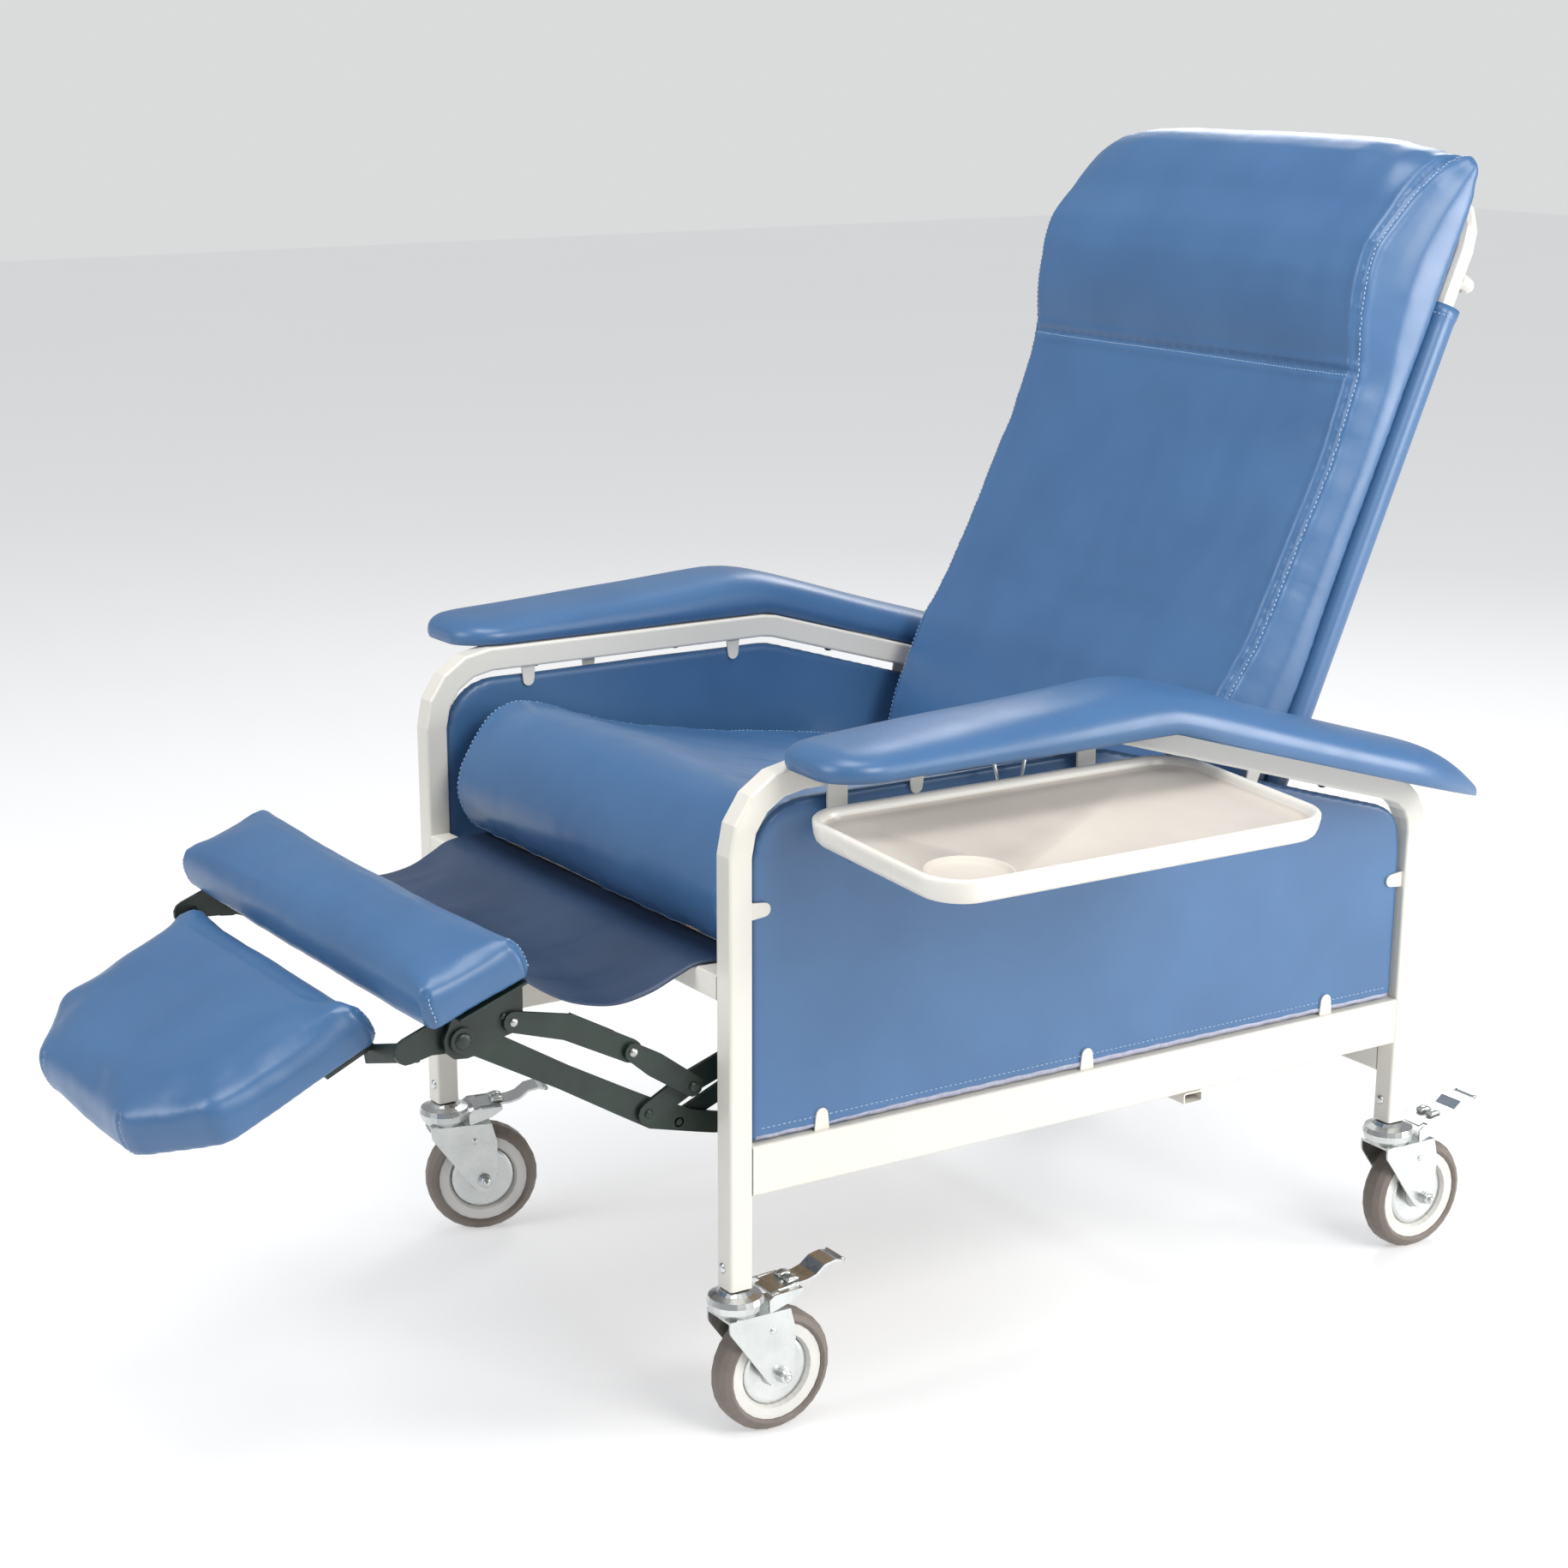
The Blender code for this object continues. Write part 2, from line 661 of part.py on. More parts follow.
def back_lug():
    """Flat lug welded to the inner side of a back tube, with the hole for the hinge pin."""
    low = back_point(0, 0)
    high = back_point(0.125, 0)
    outline = link_outline([(low.y, low.z), (high.y, high.z)], [0.0112, 0.009])
    hole = ((BACK_HINGE.y, BACK_HINGE.z), 0.006 + PIVOT_CLEARANCE)
    return plate(outline, *BACK_LUG_X, [hole])


def push_bar(side):
    start = -BACK_TUBE_R + BACK_TUBE_WALL * 0.6
    corners = [(BACK_TUBE_X, start), (BACK_TUBE_X, -PUSH_BAR_BACK), (-BACK_TUBE_X, -PUSH_BAR_BACK),
               (-BACK_TUBE_X, start)]
    flat = rounded(corners, [0, 0.018, 0.018, 0], closed=False)
    path = [back_point(PUSH_BAR_S, spot[1], spot[0]) for spot in flat]
    up = back_point(1, 0) - back_point(0, 0)
    return bar(path, round_section(PUSH_BAR_R, 10), up)


def back_outline():
    """Profile of the back cushion, as (s, f): lumbar swell, slim middle and a head roll at the top."""
    front = [(0.046, 0.030), (0.049, 0.066), (0.060, 0.079), (0.100, 0.0985), (0.219, 0.0975),
             (0.290, 0.0825), (0.387, 0.0775), (0.481, 0.0725), (0.565, 0.0785), (0.590, 0.0855),
             (0.625, 0.1065), (0.660, 0.1155), (0.706, 0.1155), (0.757, 0.102), (0.811, 0.086),
             (0.838, 0.058)]
    over = [(0.834, 0.022), (0.818, -0.006), (0.8075, -0.004), (0.8075, BACK_TUBE_R + 0.001)]
    rear = over + [(0.066, BACK_TUBE_R + 0.001), (0.050, 0.016)]
    return front + rear


def back_cushion():
    spots = [back_point(s, f) for s, f in back_outline()]
    return profile_pad([Vector((spot.y, spot.z)) for spot in reversed(spots)], BACK_HALF, 0.012)


def back_board():
    low, high = 0.120, 0.715
    half = BACK_TUBE_X - BACK_TUBE_R - 0.004
    rear, front = BACK_TUBE_R - 0.0065, BACK_TUBE_R - 0.0002
    corners = [(low, rear), (high, rear), (high, front), (low, front)]
    spots = [back_point(s, f) for s, f in corners]
    return plate([Vector((spot.y, spot.z)) for spot in spots], -half, half)


def back_cover():
    """Vinyl rear cover: a wide channel that wraps the outer sides of both tubes."""
    reach = BACK_TUBE_X + BACK_TUBE_R + GAP
    back = -BACK_TUBE_R - GAP
    wall = 0.0022
    outer = [(reach + wall, 0.006), (reach + wall, back - wall), (-reach - wall, back - wall),
             (-reach - wall, 0.006)]
    inner = [(-reach, 0.006), (-reach, back), (reach, back), (reach, 0.006)]
    loop = rounded(outer + inner, [0, 0.008, 0.008, 0, 0, 0.006, 0.006, 0])
    shape = bmesh.new()
    rings = [[shape.verts.new(back_point(s, spot[1], spot[0])) for spot in loop]
             for s in (0.150, BACK_COVER_TOP)]
    skin(shape, rings)
    for ring in rings:
        lower = [(spot[0], spot[1]) for spot in loop]
        for triangle in tessellate_polygon([[Vector((x, f, 0)) for x, f in lower]]):
            shape.faces.new([ring[index] for index in triangle])
    return shape


# ---------------------------------------------------------------- leg rest

def rear_link():
    x0, x1 = layer(1)
    outline = link_outline([PIVOT_ELBOW, PIVOT_CROSS, PIVOT_SEAT_REAR], [0.011, 0.012, 0.012])
    pins = [(PIVOT_ELBOW, 0.005, layer(0)[0] - GAP), (PIVOT_SEAT_REAR, 0.006, layer(-2)[0] - 0.018),
            (PIVOT_CROSS, 0.0045, layer(3)[1] + 0.0008)]
    return plate(outline, x0, x1, (), pins)


def torsion_tube():
    reach = layer(-2)[0] - GAP
    y, z = PIVOT_SEAT_REAR
    outer = 0.010
    bore = 0.006 + PIVOT_CLEARANCE
    profile = [(-reach, bore), (-reach, outer), (reach, outer), (reach, bore)]
    return lathe(profile, (0, y, z), (1, 0, 0), 16)


def front_link():
    """The long link: from the calf bracket back to the elbow, with a lobe for the tail link and a tail."""
    x0, x1 = layer(0)
    outline = [Vector(spot) for spot in front_link_outline()]
    holes = [(PIVOT_CALF, 0.007 + PIVOT_CLEARANCE), (PIVOT_ELBOW, 0.005 + PIVOT_CLEARANCE),
             (PIVOT_TAIL, 0.0032 + OPEN_CLEARANCE * 0.7)]
    return plate(outline, x0, x1, holes)


def front_link_outline():
    """The lower edge back to the tail, then the upper edge forward and round the calf pivot."""
    lower = [(-0.682, 0.4285), (-0.594, 0.379), (-0.532, 0.341), (-0.497, 0.320), (-0.448, 0.307),
             (-0.424, 0.301),
             (-0.408, 0.300)]
    tail = [(-0.400, 0.308), (-0.406, 0.318), (-0.425, 0.323)]
    upper = [(-0.449, 0.330), (-0.494, 0.3505), (-0.515, 0.362), (-0.581, 0.399), (-0.668, 0.452)]
    centre = Vector(PIVOT_CALF)
    start = math.atan2(0.014, 0.010)
    nose = [centre + Vector((math.cos(turn), math.sin(turn))) * 0.0165 for turn in
            (start + 0.5 + 0.45 * step for step in range(9))]
    return lower + tail + upper + nose


def tail_link():
    x0, x1 = layer(-1)
    outline = link_outline([PIVOT_TAIL, PIVOT_SEAT_TAIL], [0.0085, 0.010])
    pins = [(PIVOT_TAIL, 0.0032, layer(0)[1] + GAP), (PIVOT_SEAT_TAIL, 0.005, layer(-2)[0] - 0.002)]
    return plate(outline, x0, x1, (), pins)


def upper_link():
    """Angle-section link: a web between its pivots, with a flange along the upper edge."""
    x0, x1 = layer(2)
    bend = (-0.588, 0.441)
    web = plate(link_outline([PIVOT_UPPER, bend, PIVOT_RISER], [0.010, 0.0125, 0.0115]), x0, x1,
                [(PIVOT_RISER, 0.0035 + OPEN_CLEARANCE)], [(PIVOT_UPPER, 0.0045, layer(1)[0] - GAP)])
    along = (Vector(PIVOT_RISER) - Vector(bend)).normalized()
    across = Vector((-along.y, along.x))
    start = Vector(bend) + across * 0.0093 + along * 0.004
    end = Vector(PIVOT_RISER) + across * 0.0085 - along * 0.020
    outline = [start, end, end + across * 0.003, start + across * 0.003]
    flange = plate(outline, layer(1)[1] - 0.010, x0 + 0.002)
    return union(web, flange)


def riser_link():
    x0, x1 = layer(3)
    mid = (-0.497, 0.388)
    outline = link_outline([PIVOT_RISER, mid, PIVOT_CROSS], [0.009, 0.012, 0.0105])
    return plate(outline, x0, x1, [(PIVOT_CROSS, 0.0045 + PIVOT_CLEARANCE)],
                 [(PIVOT_RISER, 0.0035, layer(2)[0] - GAP)])


def calf_frame():
    """Matrix from pad directions (X across, Y from front to rear, Z out of the pad) to the chair."""
    rearward = (CALF_REAR - CALF_FRONT).normalized()
    return pad_matrix(CALF_FRONT, rearward)


def foot_frame():
    rearward = (FOOT_REAR - FOOT_FRONT).normalized()
    return pad_matrix(FOOT_REAR - rearward * FOOT_LENGTH, rearward)


def pad_matrix(corner, rearward):
    across = Vector((1, 0, 0))
    out = across.cross(rearward)
    turn = Matrix((across, rearward, out)).transposed().to_4x4()
    return Matrix.Translation(corner) @ turn


def calf_depth():
    return (CALF_REAR - CALF_FRONT).length


def calf_outline():
    depth = calf_depth()
    corners = [(-CALF_HALF, -0.006), (CALF_HALF, -0.006), (CALF_HALF, depth + 0.006),
               (-CALF_HALF, depth + 0.006)]
    return rounded(corners, 0.014)


def calf_pad():
    levels = [(PAD_BOARD + GAP, 0.004), (PAD_BOARD + 0.006, 0.0), (0.036, 0.0), (0.044, 0.006),
              (CALF_THICK, 0.018)]
    return slab(calf_outline(), levels, calf_frame())


def calf_board():
    return slab(offset(calf_outline(), -0.008), [(0.0, 0.0), (PAD_BOARD, 0.0)], calf_frame())


def foot_outline():
    """Square at the back, with both front corners cut off."""
    front, cut = 0.0, 0.072
    corners = [(-0.098, front), (0.098, front), (FOOT_HALF, cut), (FOOT_HALF, FOOT_LENGTH),
               (-FOOT_HALF, FOOT_LENGTH),
               (-FOOT_HALF, cut)]
    return rounded(corners, [0.030, 0.030, 0.030, 0.012, 0.012, 0.030])


def foot_pad():
    levels = [(PAD_BOARD + GAP, 0.004), (PAD_BOARD + 0.006, 0.0), (0.036, 0.0), (0.044, 0.006),
              (FOOT_THICK, 0.018)]
    return slab(foot_outline(), levels, foot_frame())


def foot_board():
    return slab(offset(foot_outline(), -0.010), [(0.0, 0.0), (PAD_BOARD, 0.0)], foot_frame())


def calf_bracket():
    x0, x1 = layer(1)
    place = calf_frame()
    depth = calf_depth()
    under = [place @ Vector((0, along, -GAP)) for along in (0.022, depth - 0.002)]
    outline = [(-0.7115, 0.4375), (-0.703, 0.4300), (-0.690, 0.4285), (-0.680, 0.4300), (-0.664, 0.4400),
               (-0.640, 0.4450), (-0.633, 0.4500), (-0.632, 0.4600), (under[1].y, under[1].z),
               (under[0].y, under[0].z), (-0.7125, 0.4500)]
    holes = [(PIVOT_UPPER, 0.0045 + PIVOT_CLEARANCE)]
    pins = [(PIVOT_CALF, 0.007, layer(-1)[0] - 0.0025), (PIVOT_CALF, 0.0125, x1 + 0.0035)]
    web = plate([Vector(spot) for spot in outline], x0, x1, holes, pins)
    low, high = under
    slip = Vector((0, high.z - low.z, low.y - high.y)).normalized() * 0.0025
    ledge = [low + (high - low) * 0.02, high - (high - low) * 0.02]
    foot = [ledge[0], ledge[1], ledge[1] + slip, ledge[0] + slip]
    flange = plate([Vector((spot.y, spot.z)) for spot in foot], x1 - 0.001, x1 + 0.012)
    return union(web, flange)


def foot_arm():
    """Flat arm from the calf pivot: a plate that jogs inwards and runs on as a bar under the foot pad."""
    x0, x1 = layer(-1)
    shoulder = (-0.745, 0.442)
    hub = plate(link_outline([PIVOT_CALF, (-0.722, 0.449), shoulder], [0.0145, 0.0145, 0.0125]), x0, x1,
                [(PIVOT_CALF, 0.007 + PIVOT_CLEARANCE)])
    place = foot_frame()
    strap_x = FOOT_HALF - 0.022
    start = Vector((x0 + 0.0015, shoulder[0] + 0.010, shoulder[1] - 0.003))
    inner = place @ Vector((strap_x, FOOT_LENGTH - 0.014, -0.012))
    along = (inner - start).normalized()
    side = along.cross(Vector((0, 0, 1))).normalized()
    rung = bar([start, inner], square_section(0.0045, 0.018, 0.001), side)
    strap_path = [place @ Vector((strap_x, FOOT_LENGTH - along_y, -0.0028))
                  for along_y in (0.006, FOOT_STRAP_END)]
    strap = bar(strap_path, square_section(0.024, 0.005, 0.001), (1, 0, 0))
    return union(hub, rung, strap)


def apron():
    """Vinyl sheet that swings about the front crossbar's upper edge, under the calf pad's rear edge."""
    lengths = ((-0.004, 0.0), (-0.060, -0.018), (-0.110, -0.020), (-0.164, -0.002))
    shape = bmesh.new()
    rings = []
    for index, (along, sag) in enumerate(lengths):
        share = index / (len(lengths) - 1)
        half = APRON_REAR_HALF + (APRON_FRONT_HALF - APRON_REAR_HALF) * share
        y = APRON_HINGE.y + along
        z = APRON_HINGE.z + 0.010 * share + sag
        low, high = z - APRON_THICK / 2, z + APRON_THICK / 2
        rings.append([shape.verts.new(spot) for spot in
                      ((-half, y, low), (half, y, low), (half, y, high), (-half, y, high))])
    skin(shape, rings)
    shape.faces.new(rings[0])
    shape.faces.new(rings[-1])
    return shape


# ---------------------------------------------------------------- tray

def tray_matrix():
    corner = Vector((TRAY_INNER_X, 0, TRAY_RIM_TOP - TRAY_RIM))
    return Matrix.Translation(corner) @ Matrix.Rotation(TRAY_TILT, 4, "Y")


def tray():
    corners = [(0, TRAY_FRONT), (TRAY_WIDTH, TRAY_FRONT), (TRAY_WIDTH, TRAY_REAR), (0, TRAY_REAR)]
    outline = rounded(corners, TRAY_CORNER)
    place = tray_matrix()
    shape = bmesh.new()
    levels = [(0.0, -0.009), (0.007, -0.002), (TRAY_RIM, 0.0), (TRAY_RIM, -0.008),
              (TRAY_FLOOR + 0.003, -0.012)]
    rings = []
    for height, out in levels:
        rings.append([shape.verts.new(place @ Vector((spot[0], spot[1], height)))
                      for spot in offset(outline, out)])
    skin(shape, rings)
    shape.faces.new(rings[0])
    cup = circle((TRAY_WIDTH - 0.046, TRAY_FRONT + 0.062), CUP_RADIUS, 24)
    floor = offset(outline, -0.014)
    inner = [shape.verts.new(place @ Vector((spot[0], spot[1], TRAY_FLOOR))) for spot in floor]
    skin(shape, [rings[-1], inner])
    rim = [shape.verts.new(place @ Vector((spot[0], spot[1], TRAY_FLOOR))) for spot in cup]
    base = [shape.verts.new(place @ Vector((spot[0], spot[1], TRAY_FLOOR - 0.0022))) for spot in cup]
    loops = [[Vector((spot[0], spot[1], 0)) for spot in loop] for loop in (floor, cup)]
    everything = inner + rim
    for triangle in tessellate_polygon(loops):
        shape.faces.new([everything[index] for index in triangle])
    skin(shape, [rim, base])
    shape.faces.new(base)
    return shape


def tray_hinge_leaf():
    """Folded steel leaf under the tray, with two knuckles that turn on the bracket's rod."""
    place = tray_matrix()
    low = place @ Vector((0.012, 0, -GAP - 0.003))
    high = place @ Vector((0.150, 0, -GAP))
    span = (TRAY_KNUCKLES[0] - 0.012, TRAY_KNUCKLES[1] + 0.012)
    slope = math.tan(TRAY_TILT)
    shapes = [sloped_sheet(low.x, high.x, span, low.z, slope)]
    for y in TRAY_KNUCKLES:
        shapes.append(knuckle(y))
    return union(*shapes)


def sloped_sheet(x0, x1, span, z0, slope):
    shape = bmesh.new()
    rings = []
    for y in span:
        spots = ((x0, z0), (x1, z0 - slope * (x1 - x0)), (x1, z0 - slope * (x1 - x0) + 0.003),
                 (x0, z0 + 0.003))
        rings.append([shape.verts.new((x, y, z)) for x, z in spots])
    skin(shape, rings)
    shape.faces.new(rings[0])
    shape.faces.new(rings[-1])
    return shape


def knuckle(y):
    """An ear in the XZ plane with a hole for the hinge rod, made as a YZ plate and turned."""
    centre = (0.0, TRAY_HINGE.z)
    outline = link_outline([centre, (0.026, TRAY_HINGE.z - 0.0005)], [0.0075, 0.0042])
    shape = plate(outline, -0.008, 0.008, [(centre, HINGE_ROD_R + PIVOT_CLEARANCE)])
    for vert in shape.verts:
        across, along, height = vert.co
        vert.co = Vector((TRAY_HINGE.x + along, y - across, height))
    return shape


def tray_bracket():
    """Rod along the arm and two drop arms that carry it from the outer face of the side frame."""
    y0, y1 = TRAY_ARM_STATIONS
    rod = lathe([(0, 0), (0, HINGE_ROD_R), (y1 - y0 + 0.006, HINGE_ROD_R), (y1 - y0 + 0.006, 0)],
                (TRAY_HINGE.x, y0 - 0.003, TRAY_HINGE.z), (0, 1, 0), 16)
    shapes = [rod]
    face = FRAME_WIDTH / 2 + GAP
    for y in TRAY_ARM_STATIONS:
        top = ARM_TUBE_TOP - 0.003
        shapes.append(box((face, y - 0.011, TRAY_HINGE.z - 0.002), (face + 0.003, y + 0.011, top)))
        shapes.append(box((face + 0.001, y - 0.0035, TRAY_HINGE.z - 0.006),
                          (TRAY_HINGE.x + 0.003, y + 0.0035, TRAY_HINGE.z + 0.006)))
    return union(*shapes)


# ---------------------------------------------------------------- casters

def caster_fork():
    """Local coordinates: the swivel axis is Z, and the wheel trails towards +Y."""
    axle = Vector((CASTER_TRAIL, WHEEL_R))
    corners = [(-0.019, FORK_TOP), (-0.019, 0.119), (axle.x - 0.016, axle.y - 0.004),
               (axle.x - 0.006, axle.y - 0.0135),
               (axle.x + 0.007, axle.y - 0.0135), (axle.x + 0.014, axle.y - 0.002), (axle.x + 0.016, 0.108),
               (axle.x + 0.010, FORK_TOP)]
    outline = rounded(corners, [0.0, 0.012, 0.006, 0.005, 0.005, 0.005, 0.008, 0.0])
    shapes = []
    for sign in (1, -1):
        inner, outer = sign * FORK_INNER, sign * (FORK_INNER + FORK_THICK)
        shapes.append(plate(outline, min(inner, outer), max(inner, outer)))
    reach = FORK_INNER + FORK_THICK
    shapes.append(box((-reach, -0.019, FORK_TOP - FORK_THICK), (reach, axle.x + 0.010, FORK_TOP)))
    bowl = [(FORK_TOP - 0.001, 0), (FORK_TOP - 0.001, 0.021), (0.1370, 0.0265), (0.1445, 0.0285),
            (0.1500, 0.0265),
            (0.1530, 0.0185), (0.1560, 0.0150), (0.1570, STEM_R), (STEM_TOP, STEM_R), (STEM_TOP, 0)]
    shapes.append(lathe(bowl, (0, 0, 0), (0, 0, 1), 20))
    half = reach + 0.0045
    axle_bar = [(-half, 0), (-half, 0.0075), (-reach + 0.0005, 0.0085), (-reach + 0.0005, AXLE_R),
                (reach - 0.0005, AXLE_R), (reach - 0.0005, 0.0085), (half, 0.0075), (half, 0)]
    shapes.append(lathe(axle_bar, (0, axle.x, axle.y), (1, 0, 0), 12))
    return union(*shapes)


def caster_tyre():
    shoulder = WHEEL_R - 0.006
    profile = [(-TYRE_HALF + 0.002, HUB_R + GAP), (-TYRE_HALF, HUB_R + 0.003),
               (-TYRE_HALF, shoulder - 0.003),
               (-TYRE_HALF + 0.003, shoulder + 0.002), (-0.007, WHEEL_R), (0.007, WHEEL_R),
               (TYRE_HALF - 0.003, shoulder + 0.002), (TYRE_HALF, shoulder - 0.003),
               (TYRE_HALF, HUB_R + 0.003),
               (TYRE_HALF - 0.002, HUB_R + GAP)]
    return lathe(profile, (0, CASTER_TRAIL, WHEEL_R), (1, 0, 0), 28)


def caster_hub():
    bore = AXLE_R + AXLE_CLEARANCE
    half = [(0.0165, bore), (0.0165, BOSS_R), (0.0070, BOSS_R + 0.002), (0.0055, 0.036), (HUB_HALF, 0.0395),
            (HUB_HALF + 0.0005, HUB_R)]
    profile = [(-along, radius) for along, radius in half] + half[::-1]
    return lathe(profile, (0, CASTER_TRAIL, WHEEL_R), (1, 0, 0), 28)


def caster_pedal():
    """Brake pedal over the rear of the fork: a tread plate with a curled tip and two cheeks on its pivot."""
    centre_y, centre_z = PEDAL_PIVOT
    line = [(0.0315, 0.1478), (0.040, 0.1500), (0.074, 0.1530), (0.084, 0.1560), (0.094, 0.1640),
            (0.106, 0.1665),
            (0.116, 0.1640)]
    tread = thick_line(line, 0.0024, -0.015, 0.015)
    shapes = [tread]
    for sign in (1, -1):
        inner = sign * (FORK_INNER + FORK_THICK + 0.0010)
        outer = inner + sign * 0.002
        cheek = rounded([(centre_y + 0.004, centre_z - 0.006), (centre_y + 0.030, centre_z + 0.002),
                         (centre_y + 0.048, 0.1520), (centre_y + 0.010, 0.1505),
                         (centre_y + 0.004, 0.1460)], 0.002)
        shapes.append(plate(cheek, min(inner, outer), max(inner, outer)))
        low, high = sorted((sign * 0.0140, outer))
        shapes.append(plate([Vector(spot) for spot in ((0.040, 0.1478), (0.062, 0.1496), (0.062, 0.1518),
                                                       (0.040, 0.1500))],
                            low, high))
    return union(*shapes)


def thick_line(line, thick, x0, x1):
    middle = [Vector(spot) for spot in line]
    upper, lower = [], []
    for index, here in enumerate(middle):
        before = middle[max(0, index - 1)]
        after = middle[min(len(middle) - 1, index + 1)]
        along = (after - before).normalized()
        across = Vector((-along.y, along.x)) * thick / 2
        upper.append(here + across)
        lower.append(here - across)
    return plate(lower + upper[::-1], x0, x1)


def place_caster(corner, make_shapes):
    side, end, swivel = CASTERS[corner]
    stem = Vector((side * TUBE_X, end * TUBE_Y, 0))
    turn = Matrix.Rotation(math.radians(-swivel), 4, "Z")
    place = Matrix.Translation(stem) @ turn
    wheel_at = place @ Vector((0, CASTER_TRAIL, WHEEL_R))
    pedal_at = place @ Vector((0, *PEDAL_PIVOT))
    anchors = {"fork": stem, "tyre": wheel_at, "hub": wheel_at, "pedal": pedal_at}
    finishes = {"fork": "zinc", "tyre": "tyre_rubber", "hub": "hub_plastic", "pedal": "zinc"}
    for name, make in make_shapes.items():
        shape = make()
        bmesh.ops.transform(shape, matrix=place, verts=shape.verts)
        anchor = empty(f"caster_{corner}_{name}_axis", anchors[name])
        piece(f"caster_{corner}_{name}", shape, finishes[name], anchor)


# ---------------------------------------------------------------- assembly

def build_frame():
    both_sides("side_loop", side_loop, "white_paint")
    both_sides("side_rail", side_rail, "white_paint")
    both_sides("side_panel", side_panel, "blue_vinyl")
    both_sides("arm_pad", arm_pad, "blue_vinyl")
    both_sides("seat_side_plate", side_plate, "black_paint")
    reach = INNER_X - GAP
    piece("front_crossbar", crossbar(-TUBE_Y, CROSSBAR_Z, TUBE, TUBE, reach), "white_paint")
    piece("rear_crossbar", crossbar(TUBE_Y, REAR_BAR_Z, RAIL_HEIGHT, TUBE, reach), "white_paint")
    under = crossbar(UNDER_BAR_Y, RAIL_BOTTOM - GAP - UNDER_BAR_HEIGHT / 2, UNDER_BAR_HEIGHT, TUBE,
                     FRAME_WIDTH / 2)
    piece("under_crossbar", under, "white_paint")
    piece("seat_board", seat_board(), "plywood")
    piece("seat_cushion", seat_cushion(), "blue_vinyl")


def build_back():
    hinge = empty("back_hinge", BACK_HINGE)
    piece("back_frame", back_frame(), "white_paint", hinge)
    piece("back_board", back_board(), "plywood", hinge)
    piece("back_cover", back_cover(), "blue_vinyl", hinge)
    piece("back_cushion", back_cushion(), "blue_vinyl", hinge)


def build_leg_rest():
    axes = {name: empty(name, (0, *spot)) for name, spot in (
        ("rear_link_axis", PIVOT_SEAT_REAR), ("tail_link_axis", PIVOT_SEAT_TAIL),
                                                             ("elbow_axis", PIVOT_ELBOW),
        ("calf_axis", PIVOT_CALF), ("upper_link_axis", PIVOT_UPPER), ("riser_link_axis", PIVOT_CROSS),
        ("foot_axis", PIVOT_CALF), ("apron_axis", APRON_HINGE[1:]))}
    both_sides("rear_link", rear_link, "black_paint", axes["rear_link_axis"])
    piece("torsion_tube", torsion_tube(), "black_paint", axes["rear_link_axis"])
    both_sides("tail_link", tail_link, "black_paint", axes["tail_link_axis"])
    both_sides("front_link", front_link, "black_paint", axes["elbow_axis"])
    both_sides("riser_link", riser_link, "black_paint", axes["riser_link_axis"])
    both_sides("upper_link", upper_link, "black_paint", axes["upper_link_axis"])
    both_sides("calf_bracket", calf_bracket, "black_paint", axes["calf_axis"])
    piece("calf_board", calf_board(), "plywood", axes["calf_axis"])
    piece("calf_pad", calf_pad(), "blue_vinyl", axes["calf_axis"])
    both_sides("foot_arm", foot_arm, "black_paint", axes["foot_axis"])
    piece("foot_board", foot_board(), "plywood", axes["foot_axis"])
    piece("foot_pad", foot_pad(), "blue_vinyl", axes["foot_axis"])
    piece("apron", apron(), "blue_vinyl", axes["apron_axis"])


def build_tray():
    hinge = empty("tray_hinge", TRAY_HINGE)
    piece("tray", tray(), "tray_plastic", hinge)
    piece("tray_hinge_leaf", tray_hinge_leaf(), "zinc", hinge)
    piece("tray_bracket", tray_bracket(), "white_paint")


def build_casters():
    makers = {"fork": caster_fork, "tyre": caster_tyre, "hub": caster_hub, "pedal": caster_pedal}
    for corner in CASTERS:
        place_caster(corner, makers)


def centre_on_origin():
    """Moves the whole chair so that the bottom centre of its bounding box is the origin."""
    bpy.context.view_layer.update()
    meshes = [item for item in bpy.data.objects if item.type == "MESH"]
    spots = [item.matrix_world @ vert.co for item in meshes for vert in item.data.vertices]
    low = [min(spot[axis] for spot in spots) for axis in range(3)]
    high = [max(spot[axis] for spot in spots) for axis in range(3)]
    middle = Vector(((low[0] + high[0]) / 2, (low[1] + high[1]) / 2, low[2]))
    for item in bpy.data.objects:
        if item.parent is None:
            item.location -= middle


clear_scene()
build_frame()
build_back()
build_leg_rest()
build_tray()
build_casters()
centre_on_origin()
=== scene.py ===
"""Looks of the patient recliner chair: upholstery, stitching, finishes, studio light and camera."""

import math

import bmesh
import bpy
import numpy as np
from mathutils import Matrix, Vector, noise
from mathutils.bvhtree import BVHTree
from mathutils.geometry import tessellate_polygon
from mathutils.kdtree import KDTree


